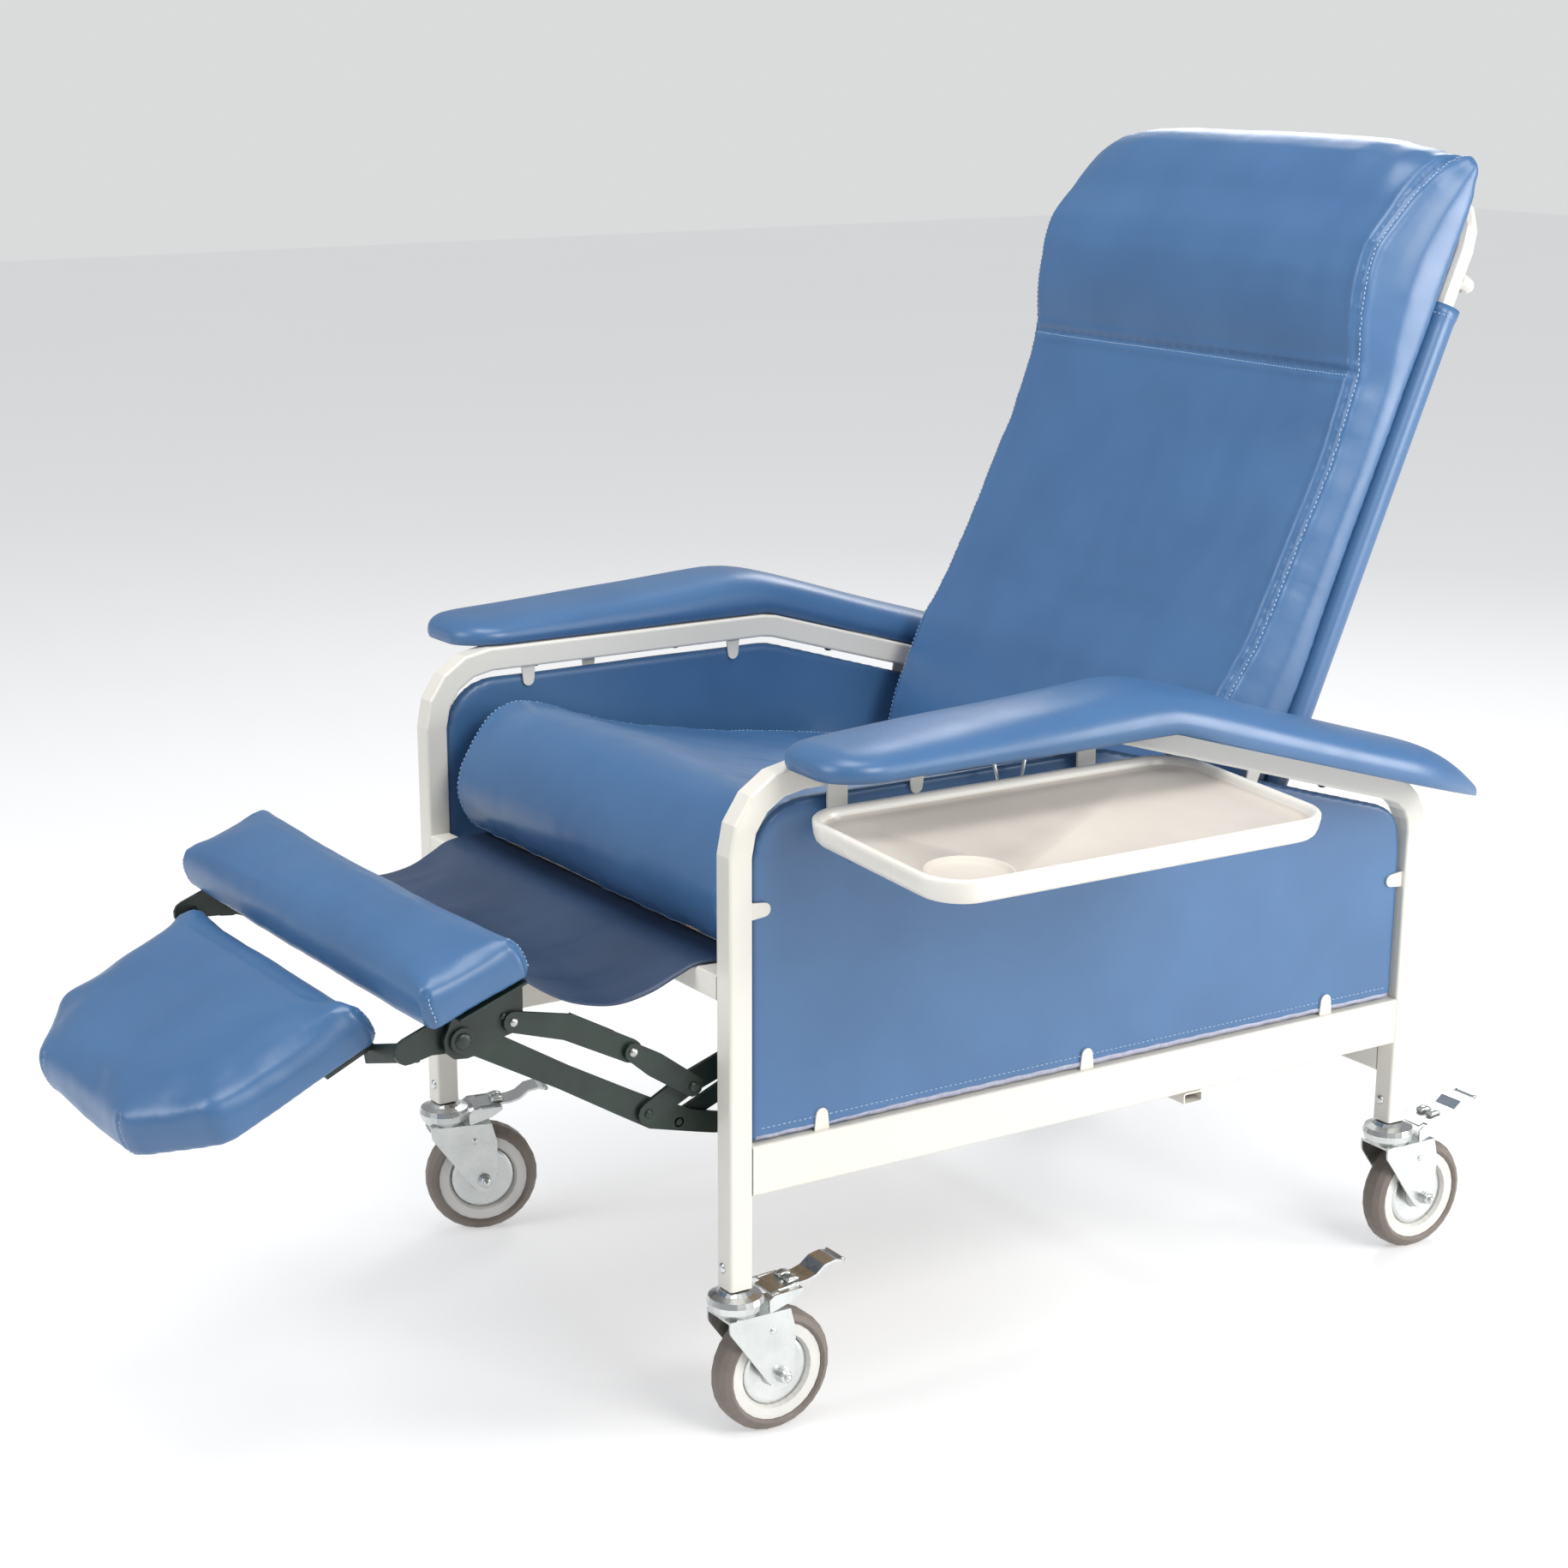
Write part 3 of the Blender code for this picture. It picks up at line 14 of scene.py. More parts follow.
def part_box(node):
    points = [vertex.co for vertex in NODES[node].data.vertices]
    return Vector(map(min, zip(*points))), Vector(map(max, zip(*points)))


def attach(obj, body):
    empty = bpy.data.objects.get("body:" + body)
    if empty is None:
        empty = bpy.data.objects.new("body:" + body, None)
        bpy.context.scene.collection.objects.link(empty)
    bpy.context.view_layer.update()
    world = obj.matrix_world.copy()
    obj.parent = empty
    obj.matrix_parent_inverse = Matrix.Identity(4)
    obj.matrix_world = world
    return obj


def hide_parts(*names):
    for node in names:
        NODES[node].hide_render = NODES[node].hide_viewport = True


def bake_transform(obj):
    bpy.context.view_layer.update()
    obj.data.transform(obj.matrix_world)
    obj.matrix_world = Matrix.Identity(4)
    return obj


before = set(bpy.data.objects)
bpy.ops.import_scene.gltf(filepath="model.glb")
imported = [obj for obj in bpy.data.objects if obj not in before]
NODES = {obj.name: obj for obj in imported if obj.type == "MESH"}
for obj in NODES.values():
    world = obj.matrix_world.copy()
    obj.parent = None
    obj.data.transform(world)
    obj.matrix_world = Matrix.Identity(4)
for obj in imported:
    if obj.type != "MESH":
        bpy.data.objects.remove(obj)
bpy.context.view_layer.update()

# The shapes are laid out about a point on the floor midway between the legs; SHIFT moves them into the frame
CROSSBAR_MIDDLE = Vector((0.0, -0.4293, 0.459))
SHIFT = sum(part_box("front_crossbar"), Vector()) / 2 - CROSSBAR_MIDDLE

# Back directions: S up the tubes from the hinge, F out of the front face
HINGE = Vector((0.0, 0.196, 0.4165))
LEAN = math.radians(23.0)
UP = Vector((0.0, math.sin(LEAN), math.cos(LEAN)))
OUT = Vector((0.0, -math.cos(LEAN), math.sin(LEAN)))
TUBE_X = 0.277

# The back's side seam as (s, f), from the lap up over the head roll
BACK_SEAM = [(0.058, 0.0765), (0.075, 0.0925), (0.120, 0.0985), (0.219, 0.097), (0.290, 0.0815),
             (0.387, 0.077), (0.481, 0.0715), (0.565, 0.0765), (0.583, 0.0795), (0.612, 0.0935),
             (0.642, 0.1045),
             (0.675, 0.1135), (0.706, 0.1135), (0.757, 0.094), (0.790, 0.076), (0.812, 0.060),
             (0.824, 0.044)]
TUBE_TOP = 0.806
HEAD_SEAM_S = 0.577

SEAT_TOP = [(-0.383, 0.478), (-0.403, 0.486), (-0.419, 0.509), (-0.423, 0.536), (-0.411, 0.566),
            (-0.389, 0.599),
            (-0.366, 0.615), (-0.338, 0.617), (-0.306, 0.608), (-0.262, 0.590), (-0.205, 0.573),
            (-0.130, 0.558),
            (-0.030, 0.543), (0.080, 0.5275)]
SEAT_REAR = [(0.094, 0.516), (0.095, 0.490), (0.088, 0.464), (0.079, 0.438), (0.077, 0.420), (0.077, 0.406)]
SEAT_HALF = 0.272

CALF_REAR = Vector((0.0, -0.630, 0.497))
CALF_FRONT = Vector((0.0, -0.724, 0.463))
FOOT_REAR = Vector((0.0, -0.737, 0.431))
FOOT_FRONT = Vector((0.0, -0.941, 0.335))
FOOT_LENGTH = 0.232

# The arm pads, from their front tip to their rear tip
ARM_X = 0.364
ARM_HALF = 0.0640
ARM_FRONT, ARM_REAR = -0.389, 0.457
ARM_TUBE_TOP = 0.6716
ARM_SLOPE = math.tan(math.radians(16.3))

# Casters: where the stems stand, how far the wheel trails, how high the axle is
CASTER_X, CASTER_Y = 0.3098, 0.4293
CASTER_TRAIL, AXLE_HEIGHT = 0.040, 0.0635

FLOOR_HEIGHT = 0.0004
FLOOR_REACH = 14
EXPOSURE = -0.18


# ---------------------------------------------------------------- finishes

def shader(name):
    made = bpy.data.materials.new(name)
    made.use_nodes = True
    return made, made.node_tree, made.node_tree.nodes["Principled BSDF"]


def add_noise(tree, scale, detail=3.0, stretch=(1, 1, 1)):
    place = tree.nodes.new("ShaderNodeTexCoord")
    shape = tree.nodes.new("ShaderNodeMapping")
    shape.inputs["Scale"].default_value = stretch
    grain = tree.nodes.new("ShaderNodeTexNoise")
    grain.inputs["Scale"].default_value = scale
    grain.inputs["Detail"].default_value = detail
    tree.links.new(place.outputs["Object"], shape.inputs["Vector"])
    tree.links.new(shape.outputs["Vector"], grain.inputs["Vector"])
    return grain.outputs["Fac"]


def spread(tree, source, low, high, colour=False):
    """Maps a 0.3 to 0.7 noise value onto low..high, numbers or colours."""
    ramp = tree.nodes.new("ShaderNodeValToRGB")
    ramp.color_ramp.elements[0].position = 0.3
    ramp.color_ramp.elements[1].position = 0.7
    ends = (low, high) if colour else ((low,) * 3, (high,) * 3)
    for element, value in zip(ramp.color_ramp.elements, ends):
        element.color = (*value, 1.0)
    tree.links.new(source, ramp.inputs["Fac"])
    return ramp.outputs["Color"]


def add_bump(tree, base, source, strength, distance, under=None):
    bump = tree.nodes.new("ShaderNodeBump")
    bump.inputs["Strength"].default_value = strength
    bump.inputs["Distance"].default_value = distance
    tree.links.new(source, bump.inputs["Height"])
    if under:
        tree.links.new(under, bump.inputs["Normal"])
    tree.links.new(bump.outputs["Normal"], base.inputs["Normal"])
    return bump.outputs["Normal"]


def finish_of(name, dark, light, rough, metallic=0.0, mottle=6.0, grain=(600.0, 0.06, 0.0004), coat=0.0,
              stretch=(1, 1, 1), swell=None):
    made, tree, base = shader(name)
    broad = add_noise(tree, mottle, 4.0, stretch)
    tree.links.new(spread(tree, broad, dark, light, True), base.inputs["Base Color"])
    tree.links.new(spread(tree, add_noise(tree, mottle * 2.3, 2.0, stretch), *rough),
                   base.inputs["Roughness"])
    base.inputs["Metallic"].default_value = metallic
    base.inputs["Coat Weight"].default_value = coat
    base.inputs["Coat Roughness"].default_value = 0.25
    under = None
    if swell:
        under = add_bump(tree, base, add_noise(tree, swell[0], 2.0), swell[1], swell[2])
    add_bump(tree, base, add_noise(tree, grain[0], 4.0), grain[1], grain[2], under)
    return made


VINYL_DARK, VINYL_LIGHT = (0.044, 0.118, 0.255), (0.052, 0.136, 0.286)
VINYL = finish_of("blue_vinyl", VINYL_DARK, VINYL_LIGHT, (0.33, 0.40), mottle=9.0,
                  grain=(900.0, 0.30, 0.00025),
                  coat=0.10, swell=(26.0, 0.25, 0.0012))
# The apron is the same blue vinyl as the seat, coloured much darker: painted shade for the shadow it lies in
# under the seat roll.
APRON_PAINTED_SHADE_VINYL = finish_of("apron_vinyl_painted_shade", (0.018, 0.036, 0.078), (0.030, 0.058, 0.118), (0.40, 0.50),
                        mottle=5.0,
                        grain=(900.0, 0.3, 0.00025))
THREAD = finish_of("stitching_thread", (0.26, 0.38, 0.54), (0.34, 0.46, 0.62), (0.5, 0.6), mottle=300.0)
# The side panels' rolled hem is the same blue vinyl; its pale grey-lilac colour is a painted reflection, not
# a piping of another colour.
HEM_PAINTED_REFLECTION = finish_of("hem_vinyl_painted_reflection", (0.26, 0.27, 0.36), (0.36, 0.37, 0.46), (0.36, 0.46), mottle=60.0,
                stretch=(1, 4, 1))
PAINT = finish_of("white_powder_coat", (0.665, 0.645, 0.585), (0.69, 0.67, 0.61), (0.30, 0.38), mottle=5.0,
                  grain=(350.0, 0.10, 0.0003), coat=0.15)
BLACK = finish_of("black_linkage_paint", (0.006, 0.013, 0.010), (0.012, 0.026, 0.019), (0.30, 0.46),
                  mottle=24.0,
                  grain=(260.0, 0.20, 0.0004))
ZINC = finish_of("bright_zinc", (0.60, 0.62, 0.61), (0.70, 0.72, 0.71), (0.24, 0.34), metallic=1.0,
                 mottle=30.0,
                 grain=(700.0, 0.10, 0.0002))
STEEL_RIVET = finish_of("rivet_steel", (0.32, 0.32, 0.31), (0.52, 0.52, 0.50), (0.28, 0.40), metallic=1.0,
                        mottle=120.0)
TRAY_RIM = finish_of("tray_white", (0.68, 0.66, 0.61), (0.71, 0.69, 0.64), (0.26, 0.32), mottle=7.0,
                     coat=0.2,
                     grain=(500.0, 0.05, 0.0002))
TRAY_FLOOR = finish_of("tray_floor", (0.55, 0.50, 0.44), (0.59, 0.54, 0.48), (0.42, 0.50), mottle=14.0,
                       grain=(850.0, 0.35, 0.0003))
TYRE = finish_of("tyre_rubber", (0.150, 0.125, 0.108), (0.185, 0.158, 0.138), (0.50, 0.62), mottle=30.0,
                 grain=(420.0, 0.2, 0.0004))
HUB = finish_of("hub_plastic", (0.60, 0.59, 0.56), (0.68, 0.67, 0.64), (0.36, 0.44), mottle=20.0)
PLY = finish_of("plywood", (0.36, 0.24, 0.13), (0.52, 0.37, 0.22), (0.55, 0.65), mottle=18.0,
                stretch=(1, 9, 1))
DARK_SCREW = finish_of("dark_screw", (0.02, 0.02, 0.02), (0.05, 0.05, 0.05), (0.3, 0.4), metallic=0.8,
                       mottle=80.0)


# ---------------------------------------------------------------- mesh helpers

def make(name, verts, faces, material, body=None, slot=None, smooth=True):
    mesh = bpy.data.meshes.new(name)
    mesh.from_pydata([tuple(vert) for vert in verts], [], faces)
    mesh.materials.append(material)
    made = bpy.data.objects.new(name, mesh)
    made.location = SHIFT
    bpy.context.scene.collection.objects.link(made)
    work = bmesh.new()
    work.from_mesh(mesh)
    bmesh.ops.recalc_face_normals(work, faces=work.faces)
    work.to_mesh(mesh)
    work.free()
    if smooth:
        mesh.shade_smooth()
    if body:
        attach(made, body)
    return made


def loft(rings, close=True):
    """Vertices and faces of rings of equal length, joined in order, with both ends closed."""
    count = len(rings[0])
    verts = [spot for ring in rings for spot in ring]
    faces = []
    for row in range(len(rings) - 1):
        for index in range(count):
            after = (index + 1) % count
            low, high = row * count, (row + 1) * count
            faces.append((low + index, low + after, high + after, high + index))
    if close:
        faces.append(tuple(range(count)))
        faces.append(tuple(range((len(rings) - 1) * count, len(rings) * count)))
    return verts, faces


def smooth_line(points, spacing, closed=False):
    """Catmull-Rom curve through the points, resampled at even spacing."""
    spots = [Vector(point) for point in points]
    if closed:
        spots = [spots[-1]] + spots + spots[:2]
    else:
        spots = [spots[0] * 2 - spots[1]] + spots + [spots[-1] * 2 - spots[-2]]
    dense = []
    for p0, p1, p2, p3 in zip(spots, spots[1:], spots[2:], spots[3:]):
        for step in range(16):
            t = step / 16
            dense.append(0.5 * (2 * p1 + (p2 - p0) * t + (2 * p0 - 5 * p1 + 4 * p2 - p3) * t * t
                                + (3 * p1 - p0 - 3 * p2 + p3) * t ** 3))
    dense.append(spots[-2].copy())
    lengths = [0.0]
    for before, after in zip(dense, dense[1:]):
        lengths.append(lengths[-1] + (after - before).length)
    count = max(2, round(lengths[-1] / spacing))
    out, at = [], 0
    for step in range(count + 1):
        goal = lengths[-1] * step / count
        while at < len(lengths) - 2 and lengths[at + 1] < goal:
            at += 1
        part = (goal - lengths[at]) / max(1e-9, lengths[at + 1] - lengths[at])
        out.append(dense[at].lerp(dense[at + 1], min(1.0, max(0.0, part))))
    return out[:-1] if closed else out


def tube_along(path, radius, sides=8, squash=1.0):
    """Rings of a round cord along a path."""
    rings = []
    for index, here in enumerate(path):
        along = (path[min(index + 1, len(path) - 1)] - path[max(index - 1, 0)]).normalized()
        side = along.cross(Vector((0.31, 0.21, 0.93))).normalized()
        other = along.cross(side)
        rings.append([here + side * radius * math.cos(2 * math.pi * k / sides)
                      + other * radius * squash * math.sin(2 * math.pi * k / sides) for k in range(sides)])
    return rings


def turned(profile, centre, axis, sides=24):
    """A turned shape from (along, radius) points that start and end near radius 0."""
    axis = Vector(axis).normalized()
    square = axis.orthogonal().normalized()
    third = axis.cross(square)
    rings = [[Vector(centre) + axis * along + (square * math.cos(2 * math.pi * k / sides)
              + third * math.sin(2 * math.pi * k / sides)) * max(radius, 1e-5) for k in range(sides)]
             for along, radius in profile]
    return loft(rings)


def gather(shapes):
    """Joins several (verts, faces) into one."""
    verts, faces = [], []
    for more_verts, more_faces in shapes:
        base = len(verts)
        verts += more_verts
        faces += [tuple(index + base for index in face) for face in more_faces]
    return verts, faces


def back_point(s, f, x=0.0):
    return HINGE + UP * s + OUT * f + Vector((x, 0, 0))


def along_profile(profile, s):
    for (s0, f0), (s1, f1) in zip(profile, profile[1:]):
        if s <= s1:
            share = max(0.0, (s - s0) / (s1 - s0))
            share = share * share * (3 - 2 * share) * 0.35 + share * 0.65
            return f0 + (f1 - f0) * share
    return profile[-1][1]


def coordinates(obj):
    flat = np.empty(len(obj.data.vertices) * 3)
    obj.data.vertices.foreach_get("co", flat)
    return flat.reshape(-1, 3)


def set_coordinates(obj, spots):
    obj.data.vertices.foreach_set("co", np.asarray(spots, float).ravel())
    obj.data.update()


def apply_modifiers(obj):
    graph = bpy.context.evaluated_depsgraph_get()
    mesh = bpy.data.meshes.new_from_object(obj.evaluated_get(graph))
    obj.modifiers.clear()
    old, obj.data = obj.data, mesh
    bpy.data.meshes.remove(old)


def remesh(obj, voxel):
    work = obj.modifiers.new("voxels", "REMESH")
    work.mode = "VOXEL"
    work.voxel_size = voxel
    apply_modifiers(obj)
    relax = obj.modifiers.new("relax", "SMOOTH")
    relax.factor = 0.5
    relax.iterations = 3
    apply_modifiers(obj)


def near_line(obj, lines):
    """Distance of every vertex from the nearest of the lines."""
    spots = [spot for line in lines for spot in line]
    tree = KDTree(len(spots))
    for index, spot in enumerate(spots):
        tree.insert(spot, index)
    tree.balance()
    return np.array([tree.find(vert.co)[2] for vert in obj.data.vertices])


def press_seam(obj, lines, depth, width):
    """Presses a narrow groove along the lines, and lifts a faint swell on both sides of it."""
    gap = near_line(obj, lines)
    normals = np.array([vert.normal[:] for vert in obj.data.vertices])
    groove = -depth * np.exp(-(gap / width) ** 2)
    swell = depth * 0.28 * np.exp(-((gap - 2.6 * width) / (1.2 * width)) ** 2)
    set_coordinates(obj, coordinates(obj) + normals * (groove + swell)[:, None])


def surface_tree(obj):
    return BVHTree.FromPolygons([vert.co.copy() for vert in obj.data.vertices],
                                [tuple(face.vertices) for face in obj.data.polygons])


def stitches(name, tree, path, offset, body, spacing=0.0052, length=0.0034, radius=0.00062):
    """A row of stitches laid on a surface beside a path."""
    shapes = []
    run = smooth_line(path, spacing)
    for index in range(1, len(run) - 1):
        along = (run[index + 1] - run[index - 1]).normalized()
        _, normal, _, _ = tree.find_nearest(run[index])
        side = along.cross(normal).normalized()
        spot, normal, _, _ = tree.find_nearest(run[index] + side * offset)
        side = along.cross(normal).normalized()
        centre = spot + normal * radius * 0.5
        ring = []
        for share, size in ((-0.5, 0.35), (-0.32, 1.0), (0.32, 1.0), (0.5, 0.35)):
            middle = centre + along * length * share - normal * radius * (0.9 if abs(share) > 0.4 else 0.0)
            ring.append([middle + side * radius * size, middle + normal * radius * size,
                         middle - side * radius * size, middle - normal * radius * size])
        shapes.append(loft(ring))
    return make(name, *gather(shapes), THREAD, body, "blue_vinyl")


def even_out(obj, move, rounds):
    """Averages a field of vertex moves over neighbouring vertices, so the swell is smooth and taut."""
    ends = np.empty(len(obj.data.edges) * 2, int)
    obj.data.edges.foreach_get("vertices", ends)
    ends = ends.reshape(-1, 2)
    count = np.bincount(ends.ravel(), minlength=len(move))[:, None]
    for _ in range(rounds):
        total = np.zeros_like(move)
        for axis in range(3):
            total[:, axis] = np.bincount(ends[:, 0], move[ends[:, 1], axis], len(move)) \
                + np.bincount(ends[:, 1], move[ends[:, 0], axis], len(move))
        move = 0.3 * move + 0.7 * total / count
    return move


def inflate(pieces, steps=20):
    """Swells each soft piece with one cloth run. pieces holds (object, pressure, cap, pinned vertices)."""
    rest = []
    for obj, pressure, _, pinned in pieces:
        rest.append(coordinates(obj))
        group = obj.vertex_groups.new(name="held")
        group.add([int(index) for index in np.nonzero(pinned)[0]], 1.0, "REPLACE")
        cloth = obj.modifiers.new("swell", "CLOTH")
        cloth.settings.quality = 5
        cloth.settings.mass = 0.35
        cloth.settings.tension_stiffness = 26
        cloth.settings.compression_stiffness = 26
        cloth.settings.shear_stiffness = 12
        cloth.settings.bending_stiffness = 3.0
        cloth.settings.shrink_min = 0.001
        cloth.settings.use_pressure = True
        cloth.settings.uniform_pressure_force = pressure
        cloth.settings.effector_weights.gravity = 0
        cloth.settings.vertex_group_mass = "held"
        cloth.point_cache.frame_start = 1
        cloth.point_cache.frame_end = steps
        cloth.collision_settings.use_collision = False
    for step in range(1, steps + 1):
        bpy.context.scene.frame_set(step)
    graph = bpy.context.evaluated_depsgraph_get()
    for (obj, _, cap, _), start in zip(pieces, rest):
        grown = obj.evaluated_get(graph).to_mesh()
        flat = np.empty(len(grown.vertices) * 3)
        grown.vertices.foreach_get("co", flat)
        move = flat.reshape(-1, 3) - start
        size = np.linalg.norm(move, axis=1, keepdims=True)
        move *= np.minimum(1.0, cap / np.maximum(size, 1e-9))
        obj.modifiers.clear()
        set_coordinates(obj, start + even_out(obj, move, 14))
    bpy.context.scene.frame_set(1)


def subdivide(obj):
    finer = obj.modifiers.new("finer", "SUBSURF")
    finer.levels = finer.render_levels = 1
    apply_modifiers(obj)
    obj.data.shade_smooth()


def ripple(obj, size, height, stretch=(1, 1, 1)):
    """Faint unevenness of stuffed vinyl: moves vertices along their normals by smooth noise."""
    normals = np.array([vert.normal[:] for vert in obj.data.vertices])
    lift = np.array([noise.noise(Vector([vert.co[k] * stretch[k] / size for k in range(3)]))
                     for vert in obj.data.vertices])
    set_coordinates(obj, coordinates(obj) + normals * (lift * height)[:, None])


# ---------------------------------------------------------------- soft pieces, start shapes

def crest_lift(s, x):
    """How far the head roll stands up above its side seams, at height s and x across."""
    rise = min(1.0, max(0.0, (s - 0.700) / 0.110))
    return 0.013 * rise * rise * (3 - 2 * rise) * (1 - (min(1.0, abs(x) / 0.268)) ** 5)


def back_start():
    """Closed loft up the back: each ring is a section across it, from seam to seam and round the rear."""
    stations = [0.050, 0.054, 0.062] + [0.075 + 0.0122 * step for step in range(61)] + [0.815, 0.822, 0.827]
    rings = []
    for s in stations:
        f = along_profile(BACK_SEAM, min(s, 0.824))
        end = min(1.0, max(0.0, (s - 0.044) / 0.022)) * min(1.0, max(0.0, (0.8305 - s) / 0.014))
        end = math.sqrt(end)
        rear = 0.0140 if s < TUBE_TOP + 0.002 else 0.006
        corner = 0.024 * min(1.0, max(0.0, (s - 0.780) / 0.048)) ** 2
        bulge = 0.020 * math.exp(-((s - 0.797) / 0.040) ** 2)
        f = rear + (f - rear) * (0.35 + 0.65 * end)
        head = math.exp(-((s - 0.69) / 0.085) ** 2)
        side_f = rear + (f - rear) * 0.45
        widest = max(side_f, rear + 0.012 + corner)
        half = [(0.262, rear - 0.0098), (0.2645, rear - 0.003), (0.274, rear + 0.7 * corner),
                (0.285, rear + 0.001 + corner), (0.2885, rear + 0.007 + corner), (0.2870, widest),
                (0.279, widest + 0.36 * (f - side_f)), (0.268, f),
                (0.235, f + 0.001 + 0.7 * bulge), (0.180, f + 0.002 + 0.002 * head + bulge),
                (0.120, f + 0.002 + 0.003 * head + bulge), (0.060, f + 0.003 + 0.004 * head + bulge),
                (0.0, f + 0.003 + 0.004 * head + bulge)]
        ring = [(-x, out) for x, out in half] + half[-2::-1]
        rings.append([back_point(s + crest_lift(s, x), out, x * (0.97 + 0.03 * end)) for x, out in ring])
    return loft(rings)


def back_seams():
    side = BACK_SEAM + [(0.829, 0.026), (0.825, 0.004), (0.816, -0.010)]
    lines = []
    for sign in (1, -1):
        lines.append(smooth_line([back_point(s, f, sign * 0.268) for s, f in side], 0.004))
    f = along_profile(BACK_SEAM, HEAD_SEAM_S)
    head = smooth_line([back_point(HEAD_SEAM_S, f + 0.003, x) for x in (-0.268, -0.13, 0.0, 0.13, 0.268)],
                       0.004)
    return lines, head


def seat_start():
    outline = smooth_line([(0, *spot) for spot in SEAT_TOP], 0.012) + \
        smooth_line([(0, *spot) for spot in SEAT_REAR], 0.012)
    middle = Vector((0, -0.150, 0.500))
    rings = []
    for x, inset in ((-0.277, 0.020), (-0.2755, 0.008), (-SEAT_HALF, 0.0), (-0.20, -0.002), (0, -0.003),
                     (0.20, -0.002), (SEAT_HALF, 0.0), (0.2755, 0.008), (0.277, 0.020)):
        ring = []
        for spot in outline:
            inward = (middle - spot)
            ring.append(spot + inward.normalized() * min(inset, inward.length) + Vector((x, 0, 0)))
        rings.append(ring)
    return loft(rings)


def pad_place(rear, front, length):
    rearward = (rear - front).normalized()
    corner = rear - rearward * length
    across = Vector((1, 0, 0))
    turn = Matrix((across, rearward, across.cross(rearward))).transposed().to_4x4()
    return Matrix.Translation(corner) @ turn


CALF_PLACE = pad_place(CALF_REAR, CALF_FRONT, (CALF_REAR - CALF_FRONT).length)
FOOT_PLACE = pad_place(FOOT_REAR, FOOT_FRONT, FOOT_LENGTH)


def round_corners(corners, radii, steps=6):
    out = []
    count = len(corners)
    for index, corner in enumerate(corners):
        here = Vector(corner)
        back = (Vector(corners[index - 1]) - here).normalized()
        ahead = (Vector(corners[(index + 1) % count]) - here).normalized()
        inside = back.angle(ahead)
        reach = radii[index] / math.tan(inside / 2)
        centre = here + (back + ahead).normalized() * radii[index] / math.sin(inside / 2)
        start, end = here + back * reach - centre, here + ahead * reach - centre
        sweep = start.angle(end)
        for step in range(steps + 1):
            share = step / steps
            turned_to = start * math.sin((1 - share) * sweep) + end * math.sin(share * sweep)
            out.append(centre + turned_to / math.sin(sweep))
    return out


def grow(outline, distance):
    out = []
    for index, here in enumerate(outline):
        before = (here - outline[index - 1]).normalized()
        after = (outline[(index + 1) % len(outline)] - here).normalized()
        along = (before + after).normalized()
        out.append(here + Vector((along.y, -along.x)) * distance)
    return out


def calf_outline():
    depth = (CALF_REAR - CALF_FRONT).length
    corners = [(-0.284, -0.006), (0.284, -0.006), (0.284, depth + 0.006), (-0.284, depth + 0.006)]
    return round_corners(corners, [0.010] * 4, 4)


def foot_outline():
    corners = [(-0.112, -0.003), (0.112, -0.003), (0.195, 0.060), (0.195, FOOT_LENGTH),
               (-0.195, FOOT_LENGTH),
               (-0.195, 0.060)]
    return round_corners(corners, [0.030, 0.030, 0.026, 0.008, 0.008, 0.026], 6)


def pad_start(outline, place, thick):
    levels = [(0.0, -0.012), (0.002, -0.004), (0.006, 0.0), (0.5 * thick, 0.0005), (thick - 0.012, -0.0015),
              (thick - 0.005, -0.006), (thick - 0.001, -0.014), (thick + 0.001, -0.028)]
    rings = []
    for height, out in levels:
        rings.append([place @ Vector((spot.x, spot.y, height)) for spot in grow(outline, out)])
    return loft(rings)


# ---------------------------------------------------------------- soft pieces

def build_cushions():
    back = make("back_cushion_soft", *back_start(), VINYL)
    seat = make("seat_cushion_soft", *seat_start(), VINYL)
    calf = make("calf_pad_soft", *pad_start(calf_outline(), CALF_PLACE, 0.046), VINYL)
    foot = make("foot_pad_soft", *pad_start(foot_outline(), FOOT_PLACE, 0.050), VINYL)
    for obj, voxel in ((back, 0.0065), (seat, 0.0065), (calf, 0.005), (foot, 0.005)):
        remesh(obj, voxel)
    sides, head = back_seams()
    into_back = (coordinates(back) - np.array(HINGE)) @ np.array(OUT)
    held_back = (near_line(back, sides + [head]) < 0.0075) | (into_back < 0.024)
    seat_side = seat_seams()
    seat_spots = coordinates(seat)
    near_base = seat_spots[:, 2] < seat_under(seat_spots[:, 1]) + 0.012
    held_seat = (near_line(seat, seat_side) < 0.0065) | near_base
    held = []
    for obj, place in ((calf, CALF_PLACE), (foot, FOOT_PLACE)):
        low = np.array([(place.inverted() @ vert.co).z for vert in obj.data.vertices])
        held.append(low < 0.004)
    inflate([(back, 3.0, 0.012, held_back), (seat, 3.4, 0.014, held_seat), (calf, 4.0, 0.008, held[0]),
             (foot, 3.4, 0.008, held[1])])
    for obj in (back, seat, calf, foot):
        subdivide(obj)
    finish_back(back, sides, head)
    finish_seat(seat)
    finish_pads(calf, foot)


def keep_back(obj):
    spots = coordinates(obj)
    into = (spots - np.array(HINGE)) @ np.array(OUT)
    up = (spots - np.array(HINGE)) @ np.array(UP)
    between = np.abs(spots[:, 0]) < TUBE_X - 0.014
    low = np.where(up < TUBE_TOP + 0.001, np.where(between, 0.0042, 0.0146), -0.016)
    spots += np.maximum(0.0, low - into)[:, None] * np.array(OUT)
    spots[:, 0] = np.clip(spots[:, 0], -0.293, 0.293)
    set_coordinates(obj, spots)


